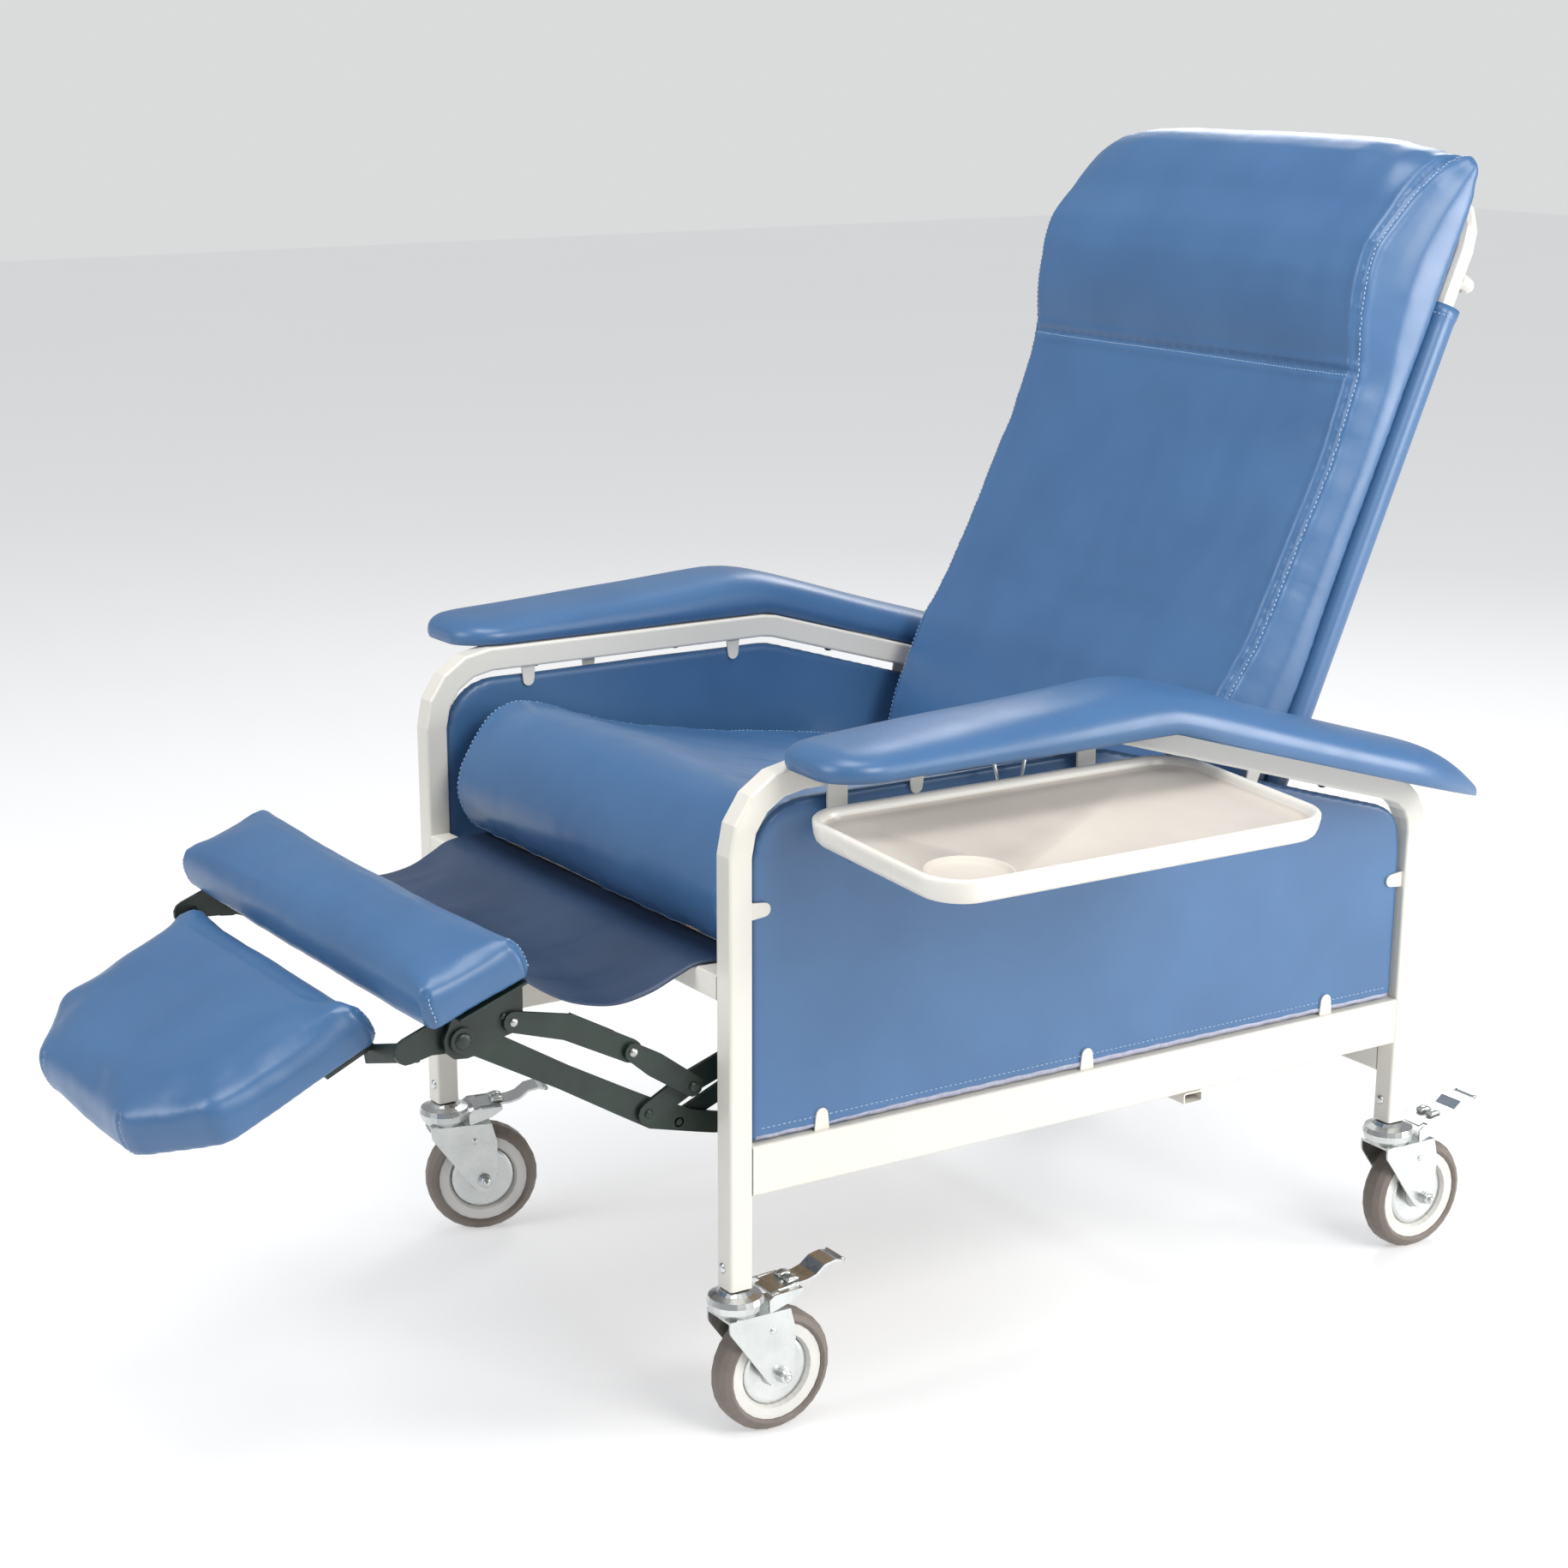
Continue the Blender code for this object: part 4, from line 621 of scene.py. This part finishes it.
def finish_back(back, sides, head):
    ripple(back, 0.10, 0.0016)
    ripple(back, 0.035, 0.0006, (1.0, 0.6, 0.6))
    tree = surface_tree(back)
    side_lines = [[tree.find_nearest(spot)[0] for spot in line] for line in sides]
    head_line = [tree.find_nearest(spot)[0] for spot in head]
    pucker(back, side_lines, 0.0011, 0.030)
    press_seam(back, side_lines, 0.0034, 0.0034)
    press_seam(back, [head_line], 0.0030, 0.0032)
    keep_back(back)
    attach(back, "back")
    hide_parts("back_cushion", "back_board")
    tree = surface_tree(back)
    for side, line, offset in (("left", side_lines[0], 0.0052), ("right", side_lines[1], -0.0052)):
        stitches(f"back_stitch_{side}", tree, line[::3], offset, "back")
    stitches("head_stitch", tree, head_line[1:-1:3], 0.0050, "back", 0.0046, 0.0030)


def pucker(obj, lines, depth, reach):
    """Small gathers that run away from a seam."""
    spots = [spot for line in lines for spot in line]
    tree = KDTree(len(spots))
    for index, spot in enumerate(spots):
        tree.insert(spot, index)
    tree.balance()
    normals = np.array([vert.normal[:] for vert in obj.data.vertices])
    lift = []
    for vert in obj.data.vertices:
        spot, index, gap = tree.find(vert.co)
        wave = noise.noise(Vector((index * 0.16, gap * 14.0, 0.3)))
        lift.append(wave * depth * math.exp(-(gap / reach) ** 2))
    set_coordinates(obj, coordinates(obj) + normals * np.array(lift)[:, None])


def seat_under(y):
    return 0.476 - 0.158 * (y + 0.383)


def seat_seams():
    lines = []
    for sign in (1, -1):
        line = smooth_line([(sign * SEAT_HALF, *spot) for spot in SEAT_TOP + SEAT_REAR[:2]], 0.004)
        lines.append(line)
    return lines


def finish_seat(seat):
    ripple(seat, 0.11, 0.0020)
    ripple(seat, 0.03, 0.0006)
    tree = surface_tree(seat)
    side_lines = [[tree.find_nearest(spot)[0] for spot in line] for line in seat_seams()]
    front = smooth_line([(x, -0.400, 0.4845) for x in (-0.262, -0.12, 0.0, 0.12, 0.262)], 0.004)
    front_line = [tree.find_nearest(spot)[0] for spot in front]
    pucker(seat, [front_line], 0.0022, 0.022)
    press_seam(seat, side_lines, 0.0030, 0.0034)
    press_seam(seat, [front_line], 0.0026, 0.0032)
    spots = coordinates(seat)
    spots[:, 0] = np.clip(spots[:, 0], -0.2855, 0.2855)
    spots[:, 2] = np.maximum(spots[:, 2], seat_under(spots[:, 1]) + 0.0005)
    reach = np.hypot(spots[:, 1] - HINGE.y, spots[:, 2] - HINGE.z)
    close = reach < 0.1065
    spots[close, 1] -= (0.1065 - reach[close])
    set_coordinates(seat, spots)
    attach(seat, "frame")
    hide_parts("seat_cushion")
    tree = surface_tree(seat)
    for side, line in zip(("left", "right"), side_lines):
        stitches(f"seat_stitch_{side}", tree, line[::3], 0.0058, "frame")
    stitches("seat_front_stitch", tree, front_line[::3], -0.006, "frame")


def finish_pads(calf, foot):
    for obj, place, outline, thick, name, body, node in (
            (calf, CALF_PLACE, calf_outline(), 0.046, "calf", "calf_rest", "calf_pad"),
            (foot, FOOT_PLACE, foot_outline(), 0.046, "foot", "foot_rest", "foot_pad")):
        ripple(obj, 0.09, 0.0014)
        ripple(obj, 0.028, 0.0005)
        tree = surface_tree(obj)
        corner_lines = []
        for spot in corner_spots(name):
            line = [place @ Vector((spot[0], spot[1], 0.004 + 0.004 * step)) for step in range(11)]
            corner_lines.append([tree.find_nearest(at)[0] for at in line])
        press_seam(obj, corner_lines, 0.0022, 0.0028)
        spots = coordinates(obj)
        back_to = np.array(place.inverted())
        local = spots @ back_to[:3, :3].T + back_to[:3, 3]
        local[:, 2] = np.maximum(local[:, 2], 0.0)
        front = np.array(place)
        set_coordinates(obj, local @ front[:3, :3].T + front[:3, 3])
        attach(obj, body)
        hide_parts(node, f"{name}_board")
        tree = surface_tree(obj)
        for index, line in enumerate(corner_lines):
            stitches(f"{name}_corner_stitch_{index}", tree, line, 0.0042, body, 0.0046, 0.0028)


def corner_spots(name):
    if name == "calf":
        depth = (CALF_REAR - CALF_FRONT).length
        return [(0.283, -0.004), (0.283, depth + 0.004), (-0.283, -0.004), (-0.283, depth + 0.004)]
    return [(0.100, 0.004), (-0.100, 0.004), (0.192, FOOT_LENGTH - 0.004), (-0.192, FOOT_LENGTH - 0.004)]


def arm_pad_half(y):
    """Half the arm pad's width at y: a blunt nose in front and a long taper behind."""
    front = min(1.0, max(0.0, (y - ARM_FRONT) / 0.052))
    rear = min(1.0, max(0.0, (ARM_REAR - y) / 0.140))
    nose_share = 0.34 + 0.66 * math.sqrt(1 - (1 - front) ** 2)
    tail_share = 0.24 + 0.76 * math.sin(rear * math.pi / 2) ** 0.9
    return ARM_HALF * nose_share * tail_share


def arm_pad_height(y):
    """Height of the arm pad's crown above the tube at y."""
    front = min(1.0, max(0.0, (y - ARM_FRONT) / 0.360))
    nose = min(1.0, max(0.0, (y - ARM_FRONT) / 0.026))
    rear = min(1.0, max(0.0, (ARM_REAR - y) / 0.110))
    nose_share = 0.42 + 0.58 * math.sqrt(nose * (2 - nose))
    tail_share = 0.32 + 0.68 * math.sin(rear * math.pi / 2)
    return (0.0245 + 0.0185 * front) * nose_share * tail_share


def build_arm_pad(side, name):
    rings = []
    for index in range(121):
        share = 0.5 - 0.5 * math.cos(math.pi * index / 120)
        y = ARM_FRONT + (ARM_REAR - ARM_FRONT) * share
        half, top = arm_pad_half(y), arm_pad_height(y)
        soft = 0.030
        over = math.sqrt(y * y + soft * soft)
        drop = ARM_SLOPE * 0.5 * (y + over) - ARM_SLOPE * soft * 0.5 * math.exp(-(y / 0.12) ** 2)
        floor = ARM_TUBE_TOP - max(0.0, y - 0.0018) * ARM_SLOPE
        crown = ARM_TUBE_TOP - drop + top
        ring = []
        for step in range(28):
            turn = math.pi * (1.0 - step / 27)
            across = math.copysign(abs(math.cos(turn)) ** 0.72, math.cos(turn))
            rise = math.sin(turn) ** 0.62 if math.sin(turn) > 1e-9 else 0.0
            height = floor + 0.003 + (crown - floor - 0.003) * rise
            ring.append(Vector((side * (ARM_X + half * across), y, height)))
        for across in (0.93, 0.5, 0.0, -0.5, -0.93):
            ring.append(Vector((side * (ARM_X + half * across), y, floor)))
        rings.append(ring)
    pad = make(f"arm_pad_soft_{name}", *loft(rings), VINYL)
    ripple(pad, 0.12, 0.0012)
    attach(pad, "frame")
    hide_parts(f"arm_pad_{name}")


def build_side_panel(side, name):
    source = NODES[f"side_panel_{name}"]
    verts = [source.matrix_world @ vert.co - SHIFT for vert in source.data.vertices]
    faces = [tuple(face.vertices) for face in source.data.polygons]
    panel = make(f"side_panel_soft_{name}", verts, faces, VINYL)
    work = bmesh.new()
    work.from_mesh(panel.data)
    bmesh.ops.remove_doubles(work, verts=work.verts, dist=1e-5)
    work.to_mesh(panel.data)
    work.free()
    remesh(panel, 0.0042)
    ripple(panel, 0.16, 0.0012, (0.2, 1, 1))
    ripple(panel, 0.05, 0.0003, (0.2, 1, 1))
    panel.data.shade_smooth()
    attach(panel, "frame")
    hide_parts(f"side_panel_{name}")
    low, high = (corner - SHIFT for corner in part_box(f"side_panel_{name}"))
    middle = (low.x + high.x) / 2
    rings = []
    for step in range(90):
        y = low.y + 0.004 + (high.y - low.y - 0.008) * step / 89
        wave = 0.0004 * math.sin(step * 1.9)
        turns = [2 * math.pi * k / 12 for k in range(12)]
        rings.append([Vector((middle + 0.0068 * math.cos(turn), y,
                              low.z + 0.0048 + wave + 0.0046 * math.sin(turn))) for turn in turns])
    # The hem cord is coloured pale, which paints the reflection on the rolled vinyl edge.
    make(f"side_panel_hem_{name}", *loft(rings), HEM_PAINTED_REFLECTION, "frame", "blue_vinyl")
    tree = surface_tree(panel)
    outer = high.x if side > 0 else low.x
    path = [Vector((outer, low.y + 0.006 + (high.y - low.y - 0.012) * k / 30, low.z + 0.0135))
            for k in range(31)]
    stitches(f"side_panel_stitch_{name}", tree, path, 0.0, "frame", 0.0060, 0.0038)
    inner = [Vector((low.x if side > 0 else high.x, spot.y, spot.z)) for spot in path]
    stitches(f"side_panel_inner_stitch_{name}", tree, inner, 0.0, "frame", 0.0060, 0.0038)


def build_apron():
    """Slack vinyl sheet from under the seat roll, over the crossbar and down to the calf pad's rear edge."""
    line = smooth_line([(0, -0.386, 0.4742), (0, -0.416, 0.4752), (0, -0.440, 0.4750), (0, -0.458, 0.4690),
                        (0, -0.490, 0.4580), (0, -0.530, 0.4540), (0, -0.575, 0.4640), (0, -0.612, 0.4815),
                        (0, -0.6275, 0.4935)], 0.006)
    columns = 84
    top, low = [], []
    for row, spot in enumerate(line):
        share = row / (len(line) - 1)
        half = 0.270 - 0.012 * math.sin(math.pi * min(1.0, share * 1.1)) - 0.004 * share
        for column in range(columns + 1):
            u = column / columns * 2 - 1
            slack = math.sin(math.pi * max(0.0, min(1.0, (share - 0.12) / 0.88))) ** 1.2
            fold = 0.0052 * noise.noise(Vector((u * 4.2, share * 1.7, 0.7))) \
                + 0.0024 * noise.noise(Vector((u * 11.0, share * 2.6, 4.1)))
            edge = -0.0045 * abs(u) ** 6 * slack
            point = Vector((u * half, spot.y, spot.z + slack * fold + edge))
            top.append(point)
            low.append(point - Vector((0, 0, 0.0018)))
    verts = top + low
    faces, wide, base = [], columns + 1, len(top)
    for row in range(len(line) - 1):
        for column in range(columns):
            a = row * wide + column
            faces.append((a, a + 1, a + wide + 1, a + wide))
            faces.append((base + a, base + a + wide, base + a + wide + 1, base + a + 1))
    for row in range(len(line) - 1):
        for column in (0, columns):
            a = row * wide + column
            faces.append((a, a + wide, base + a + wide, base + a))
    for row in (0, len(line) - 1):
        for column in range(columns):
            a = row * wide + column
            faces.append((a, base + a, base + a + 1, a + 1))
    # The apron takes the darkened vinyl, which is painted shade.
    sheet = make("apron_sheet", verts, faces, APRON_PAINTED_SHADE_VINYL)
    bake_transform(sheet)
    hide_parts("apron")


def build_back_cover():
    """Vinyl cover across the back's rear, with a sleeve round each tube and a folded hem at the top."""
    radius = 0.0128
    fullness = 1.45
    turns = [math.radians(105 - 195 * step / 16) for step in range(17)]
    section = [(TUBE_X + radius * math.cos(turn), radius * math.sin(turn) * (fullness if turn < 0 else 1.0))
               for turn in turns]
    flat = [(TUBE_X - TUBE_X * 2 * step / 40, -radius * fullness) for step in range(1, 40)]
    outline = section + flat + [(-x, f) for x, f in section[::-1]]
    rings = []
    stations = [0.105 + 0.0082 * step for step in range(71)]
    for s in [0.104] + stations:
        ring = []
        for layer in (0.0, 0.0016):
            points = []
            hem = 0.0009 if s > 0.664 else 0.0
            for x, f in outline:
                inside = max(0.0, 1 - (abs(x) / 0.262) ** 4)
                slack = 0.0
                if abs(x) < 0.262:
                    slack = inside * (0.0030 + 0.0022 * noise.noise(Vector((x * 7.0, s * 5.0, 2.0))))
                swell = (layer + hem * (layer > 0)) / radius if abs(x) > TUBE_X - 0.02 else 0.0
                tube_x = math.copysign(TUBE_X, x)
                if abs(x) > TUBE_X - 0.012:
                    points.append((tube_x + (x - tube_x) * (1 + swell), f * (1 + swell)))
                else:
                    points.append((x, f - layer - hem * (layer > 0) + slack))
            ring += points if layer == 0.0 else points[::-1]
        rings.append([back_point(s, f, x) for x, f in ring])
    cover = make("back_cover_sheet", *loft(rings), VINYL)
    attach(cover, "back")
    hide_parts("back_cover")
    tree = surface_tree(cover)
    for row, s in (("upper", 0.670), ("lower", 0.662)):
        path = [back_point(s, -0.0200, -0.26 + 0.52 * k / 12) for k in range(13)]
        stitches(f"cover_hem_stitch_{row}", tree, path, 0.0, "back")
    for sign, side in ((1, "left"), (-1, "right")):
        path = [back_point(0.668, 0.0146 * math.sin(turn), sign * (TUBE_X + 0.0146 * math.cos(turn)))
                for turn in (math.radians(85 - 17 * k) for k in range(10))]
        stitches(f"sleeve_hem_stitch_{side}", tree, path, 0.0, "back", 0.0046, 0.0030)


# ---------------------------------------------------------------- hard details

def build_tray():
    tilt = math.radians(3.2)
    place = Matrix.Translation((0.347, 0, 0.610)) @ Matrix.Rotation(tilt, 4, "Y")
    outline = round_corners([(0, -0.390), (0.240, -0.390), (0.240, 0.064), (0, 0.064)], [0.045] * 4, 10)
    levels = [(0.0005, -0.016), (0.0, -0.012), (0.0012, -0.0075), (0.0045, -0.0040), (0.010, -0.0018),
              (0.0185, -0.0003),
              (0.0222, -0.0003), (0.0238, -0.0016), (0.0245, -0.0042), (0.0238, -0.0066), (0.0226, -0.0080),
              (0.0195, -0.0092), (0.0165, -0.0102), (0.0142, -0.0118), (0.0130, -0.0160)]
    rings = [[place @ Vector((spot.x, spot.y, height)) for spot in grow(outline, out)] for height,
             out in levels]
    count = len(outline)
    verts, faces = loft(rings, close=False)
    faces.append(tuple(range(count)))
    floor = grow(outline, -0.0160)
    cup_at, ring_r = Vector((0.190, -0.328)), 0.0400
    cup = [(0.0130, ring_r + 0.0030), (0.0153, ring_r + 0.0018), (0.0157, ring_r), (0.0148, ring_r - 0.0018),
           (0.0112, ring_r - 0.0036), (0.0104, ring_r - 0.0056), (0.0104, 0.0002)]
    sides = 48
    cup_rings = [[Vector((cup_at.x + radius * math.cos(2 * math.pi * k / sides),
                          cup_at.y + radius * math.sin(2 * math.pi * k / sides), height))
                  for k in range(sides)]
                 for height, radius in cup]
    base = len(verts)
    verts += [place @ spot for ring in cup_rings for spot in ring]
    rim_start = (len(levels) - 1) * count
    loops = [[Vector((spot.x, spot.y, 0)) for spot in floor], [Vector((s.x, s.y, 0)) for s in cup_rings[0]]]
    lookup = list(range(rim_start, rim_start + count)) + list(range(base, base + sides))
    floor_from = len(faces)
    for triangle in tessellate_polygon(loops):
        faces.append(tuple(lookup[index] for index in triangle))
    for row in range(len(cup) - 1):
        for k in range(sides):
            after = (k + 1) % sides
            faces.append((base + row * sides + k, base + row * sides + after,
                          base + (row + 1) * sides + after, base + (row + 1) * sides + k))
    faces.append(tuple(base + (len(cup) - 1) * sides + k for k in range(sides)))
    top = make("tray_moulding", verts, faces, TRAY_RIM)
    top.data.materials.append(TRAY_FLOOR)
    edge = floor_from - count * 2
    for index, face in enumerate(top.data.polygons):
        if index >= floor_from or (edge <= index < floor_from - 1):
            face.material_index = 1
    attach(top, "tray")
    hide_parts("tray")


def dome(centre, axis, radius, height, sides=16):
    profile = [(-0.001, radius), (height * 0.25, radius), (height * 0.62, radius * 0.82),
               (height * 0.90, radius * 0.5),
               (height, radius * 0.08)]
    return turned(profile, centre, axis, sides)


def hexagon(centre, axis, radius, height):
    profile = [(-0.001, radius), (height * 0.8, radius), (height, radius * 0.86), (height, 0.0001)]
    return turned(profile, centre, axis, 6)


def build_fixings():
    legs = []
    for x in (0.3075, -0.3075):
        legs.append(dome((x, -0.442, 0.179), (0, -1, 0), 0.0052, 0.0032))
        legs.append(dome((x, 0.4166, 0.182), (0, -1, 0), 0.0052, 0.0032))
    make("leg_bolts", *gather(legs), ZINC, "frame", "zinc")
    screws = []
    for side in (1, -1):
        for y in (-0.300, -0.120, 0.090, 0.300):
            drop = max(0.0, y) * ARM_SLOPE
            screws.append(dome((side * 0.3098, y, 0.6456 - drop), (0, 0, -1), 0.0048, 0.0030))
    make("arm_pad_screws", *gather(screws), DARK_SCREW, "frame", "black_paint")
    rivets = {"calf_rest": [(-0.695, 0.447, 0.2731, 0.0080, 0.0030, BLACK)],
              "upper_link": [(-0.644, 0.456, 0.2742, 0.0044, 0.0026, STEEL_RIVET)],
              "riser_link": [(-0.521, 0.405, 0.2788, 0.0046, 0.0028, STEEL_RIVET)],
              "rear_link": [(-0.456, 0.359, 0.2796, 0.0048, 0.0026, BLACK),
                            (-0.500, 0.337, 0.2696, 0.0046, 0.0028, BLACK),
                            (-0.276, 0.421, 0.2696, 0.0070, 0.0034, BLACK)]}
    for body, spots in rivets.items():
        shapes = []
        for y, z, x, radius, height, finish in spots:
            for side in (1, -1):
                shapes.append(dome((side * x, y, z), (side, 0, 0), radius, height))
        make(f"{body}_rivets", *gather(shapes), finish, body, "black_paint" if finish == BLACK else "zinc")
    studs = []
    for side in (1, -1):
        for y, z in ((-0.697, 0.4587), (-0.652, 0.4700)):
            studs.append(dome((side * 0.2700, y, z - 0.008), (side, 0, 0), 0.0034, 0.0020))
    make("calf_bracket_screws", *gather(studs), BLACK, "calf_rest", "black_paint")


def build_latch():
    """Tray latch under the arm's front end, and the hinge rod's spring clip."""
    shapes = []
    for y, z, w in ((-0.312, 0.606, 0.012), (-0.330, 0.602, 0.010)):
        path = smooth_line([(0.342, y, z), (0.348, y - 0.004, z - 0.012), (0.360, y - 0.002, z - 0.020)],
                           0.003)
        shapes.append(loft(tube_along(path, w * 0.42, 10, 0.6)))
    make("tray_latch", *gather(shapes), VINYL, "tray", "blue_vinyl")
    clip = smooth_line([(0.3240, -0.146, 0.652), (0.3290, -0.146, 0.642), (0.3300, -0.140, 0.622),
                        (0.3320, -0.128, 0.612),
                        (0.3300, -0.116, 0.622), (0.3290, -0.110, 0.642), (0.3240, -0.110, 0.652)], 0.004)
    make("tray_spring_clip", *loft(tube_along(clip, 0.0019, 8)), ZINC, "frame", "zinc")


def build_caster_details():
    swivels = {"fl": (1, -1, 0.7), "fr": (-1, -1, 17.0), "rl": (1, 1, 1.2), "rr": (-1, 1, 1.2)}
    for corner, (side, end, swivel) in swivels.items():
        stem = Matrix.Translation((side * CASTER_X, end * CASTER_Y, 0))
        place = stem @ Matrix.Rotation(math.radians(-swivel), 4, "Z")
        across = place.to_3x3() @ Vector((1, 0, 0))
        centre = place @ Vector((0, CASTER_TRAIL, AXLE_HEIGHT))
        discs = []
        dished = [(0.0060, 0.0142), (0.0092, 0.0142), (0.0098, 0.018), (0.0088, 0.030), (0.0098, 0.0350),
                  (0.0060, 0.0372)]
        for sign in (1, -1):
            discs.append(turned(dished, centre, across * sign, 32))
        make(f"caster_{corner}_discs", *gather(discs), ZINC, f"caster_{corner}_wheel", "zinc")
        nuts = []
        for sign in (1, -1):
            nuts.append(hexagon(centre + across * sign * 0.0260, across * sign, 0.0068, 0.0052))
            nuts.append(turned([(0.0, 0.0034), (0.0080, 0.0034), (0.0090, 0.0026), (0.0090, 0.0001)],
                               centre + across * sign * 0.0265, across * sign, 12))
        rivet_at = place @ Vector((0, 0.030, 0.1120))
        for sign in (1, -1):
            nuts.append(dome(rivet_at + across * sign * 0.0220, across * sign, 0.0036, 0.0020, 12))
        make(f"caster_{corner}_nuts", *gather(nuts), ZINC, f"caster_{corner}_fork", "zinc")
        tab = []
        for x in (-0.0075, 0.0075):
            block = [(0.052, 0.1530), (0.066, 0.1540), (0.066, 0.1575), (0.060, 0.1590), (0.052, 0.1570)]
            rings = []
            for dx, pull in ((-0.0050, 0.25), (-0.0042, 0.0), (0.0042, 0.0), (0.0050, 0.25)):
                rings.append([place @ Vector((x + dx, y + (0.059 - y) * pull, z + (0.1555 - z) * pull))
                              for y, z in block])
            tab.append(loft(rings))
        ridge = smooth_line([place @ Vector((x, 0.1150, 0.1655)) for x in (-0.0150, 0.0, 0.0150)], 0.003)
        tab.append(loft(tube_along(ridge, 0.0022, 10)))
        make(f"caster_{corner}_pedal_tabs", *gather(tab), ZINC, f"caster_{corner}_pedal", "zinc")


def build_floor():
    base = FLOOR.node_tree.nodes["Principled BSDF"]
    base.inputs["Emission Color"].default_value = (0.93, 0.94, 0.95, 1.0)
    base.inputs["Emission Strength"].default_value = 0.52
    corners = [(x * FLOOR_REACH, y * FLOOR_REACH, FLOOR_HEIGHT) for x,
               y in ((-1, -1), (1, -1), (1, 1), (-1, 1))]
    floor = make("studio_floor", corners, [(0, 1, 2, 3)], FLOOR, smooth=False)


FLOOR = finish_of("studio_floor", (0.58, 0.58, 0.58), (0.60, 0.60, 0.60), (0.55, 0.60), mottle=1.0)


def paint_frame():
    for name, node in NODES.items():
        finish = BLACK
        if name.startswith(("side_loop", "side_rail", "front_crossbar", "rear_crossbar", "under_crossbar",
                            "back_frame", "tray_bracket")):
            finish = PAINT
        elif name.endswith("_board"):
            finish = PLY
        elif name.startswith("caster"):
            finish = {"tyre": TYRE, "hub": HUB}.get(name.rsplit("_", 1)[1], ZINC)
        elif name == "tray_hinge_leaf":
            finish = ZINC
        elif node.hide_render:
            continue
        node.data.materials.clear()
        node.data.materials.append(finish)


def area_light(name, at, to, size, power, colour=(1, 1, 1)):
    data = bpy.data.lights.new(name, "AREA")
    data.shape = "SQUARE"
    data.size = size
    data.energy = power
    data.color = colour
    lamp = bpy.data.objects.new(name, data)
    lamp.location = SHIFT + Vector(at)
    lamp.rotation_euler = (Vector(to) - Vector(at)).to_track_quat("-Z", "Y").to_euler()
    bpy.context.scene.collection.objects.link(lamp)


def build_studio():
    area_light("key", (3.2, 0.2, 2.6), (0.0, 0.0, 0.5), 1.6, 95, (1.0, 0.98, 0.95))
    area_light("front", (-0.6, -3.6, 2.6), (0.0, -0.3, 0.5), 2.0, 80, (0.97, 0.98, 1.0))
    area_light("top", (0.3, -0.6, 3.8), (0.0, -0.1, 0.5), 1.8, 75)
    area_light("side", (2.5, 2.4, 1.1), (0.25, 0.35, 0.9), 1.3, 75)
    area_light("rim", (-2.2, 2.4, 2.4), (0.0, 0.2, 0.7), 1.2, 30)
    scene = bpy.context.scene
    scene.view_settings.view_transform = "Standard"
    scene.view_settings.exposure = EXPOSURE
    world = bpy.data.worlds.new("studio")
    scene.world = world
    world.use_nodes = True
    tree = world.node_tree
    fill = tree.nodes["Background"]
    fill.inputs["Color"].default_value = (0.96, 0.97, 1.0, 1.0)
    fill.inputs["Strength"].default_value = 0.42
    backdrop = tree.nodes.new("ShaderNodeBackground")
    backdrop.inputs["Color"].default_value = (0.80, 0.805, 0.81, 1.0)
    path, pick = tree.nodes.new("ShaderNodeLightPath"), tree.nodes.new("ShaderNodeMixShader")
    tree.links.new(path.outputs["Is Camera Ray"], pick.inputs["Fac"])
    tree.links.new(fill.outputs["Background"], pick.inputs[1])
    tree.links.new(backdrop.outputs["Background"], pick.inputs[2])
    tree.links.new(pick.outputs["Shader"], tree.nodes["World Output"].inputs["Surface"])
    data = bpy.data.cameras.new("camera")
    data.lens = 69.18
    data.shift_x = 0.0178
    data.shift_y = 0.104
    camera = bpy.data.objects.new("camera", data)
    camera.location = SHIFT + Vector((2.5827, -1.8533, 1.3371))
    camera.rotation_euler = (math.radians(90 - 17.31), 0.0, math.radians(57.50))
    bpy.context.scene.collection.objects.link(camera)
    bpy.context.scene.camera = camera


build_cushions()
for sign, label in ((1, "left"), (-1, "right")):
    build_arm_pad(sign, label)
    build_side_panel(sign, label)
build_apron()
build_back_cover()
build_tray()
build_fixings()
build_latch()
build_caster_details()
paint_frame()
build_floor()
build_studio()
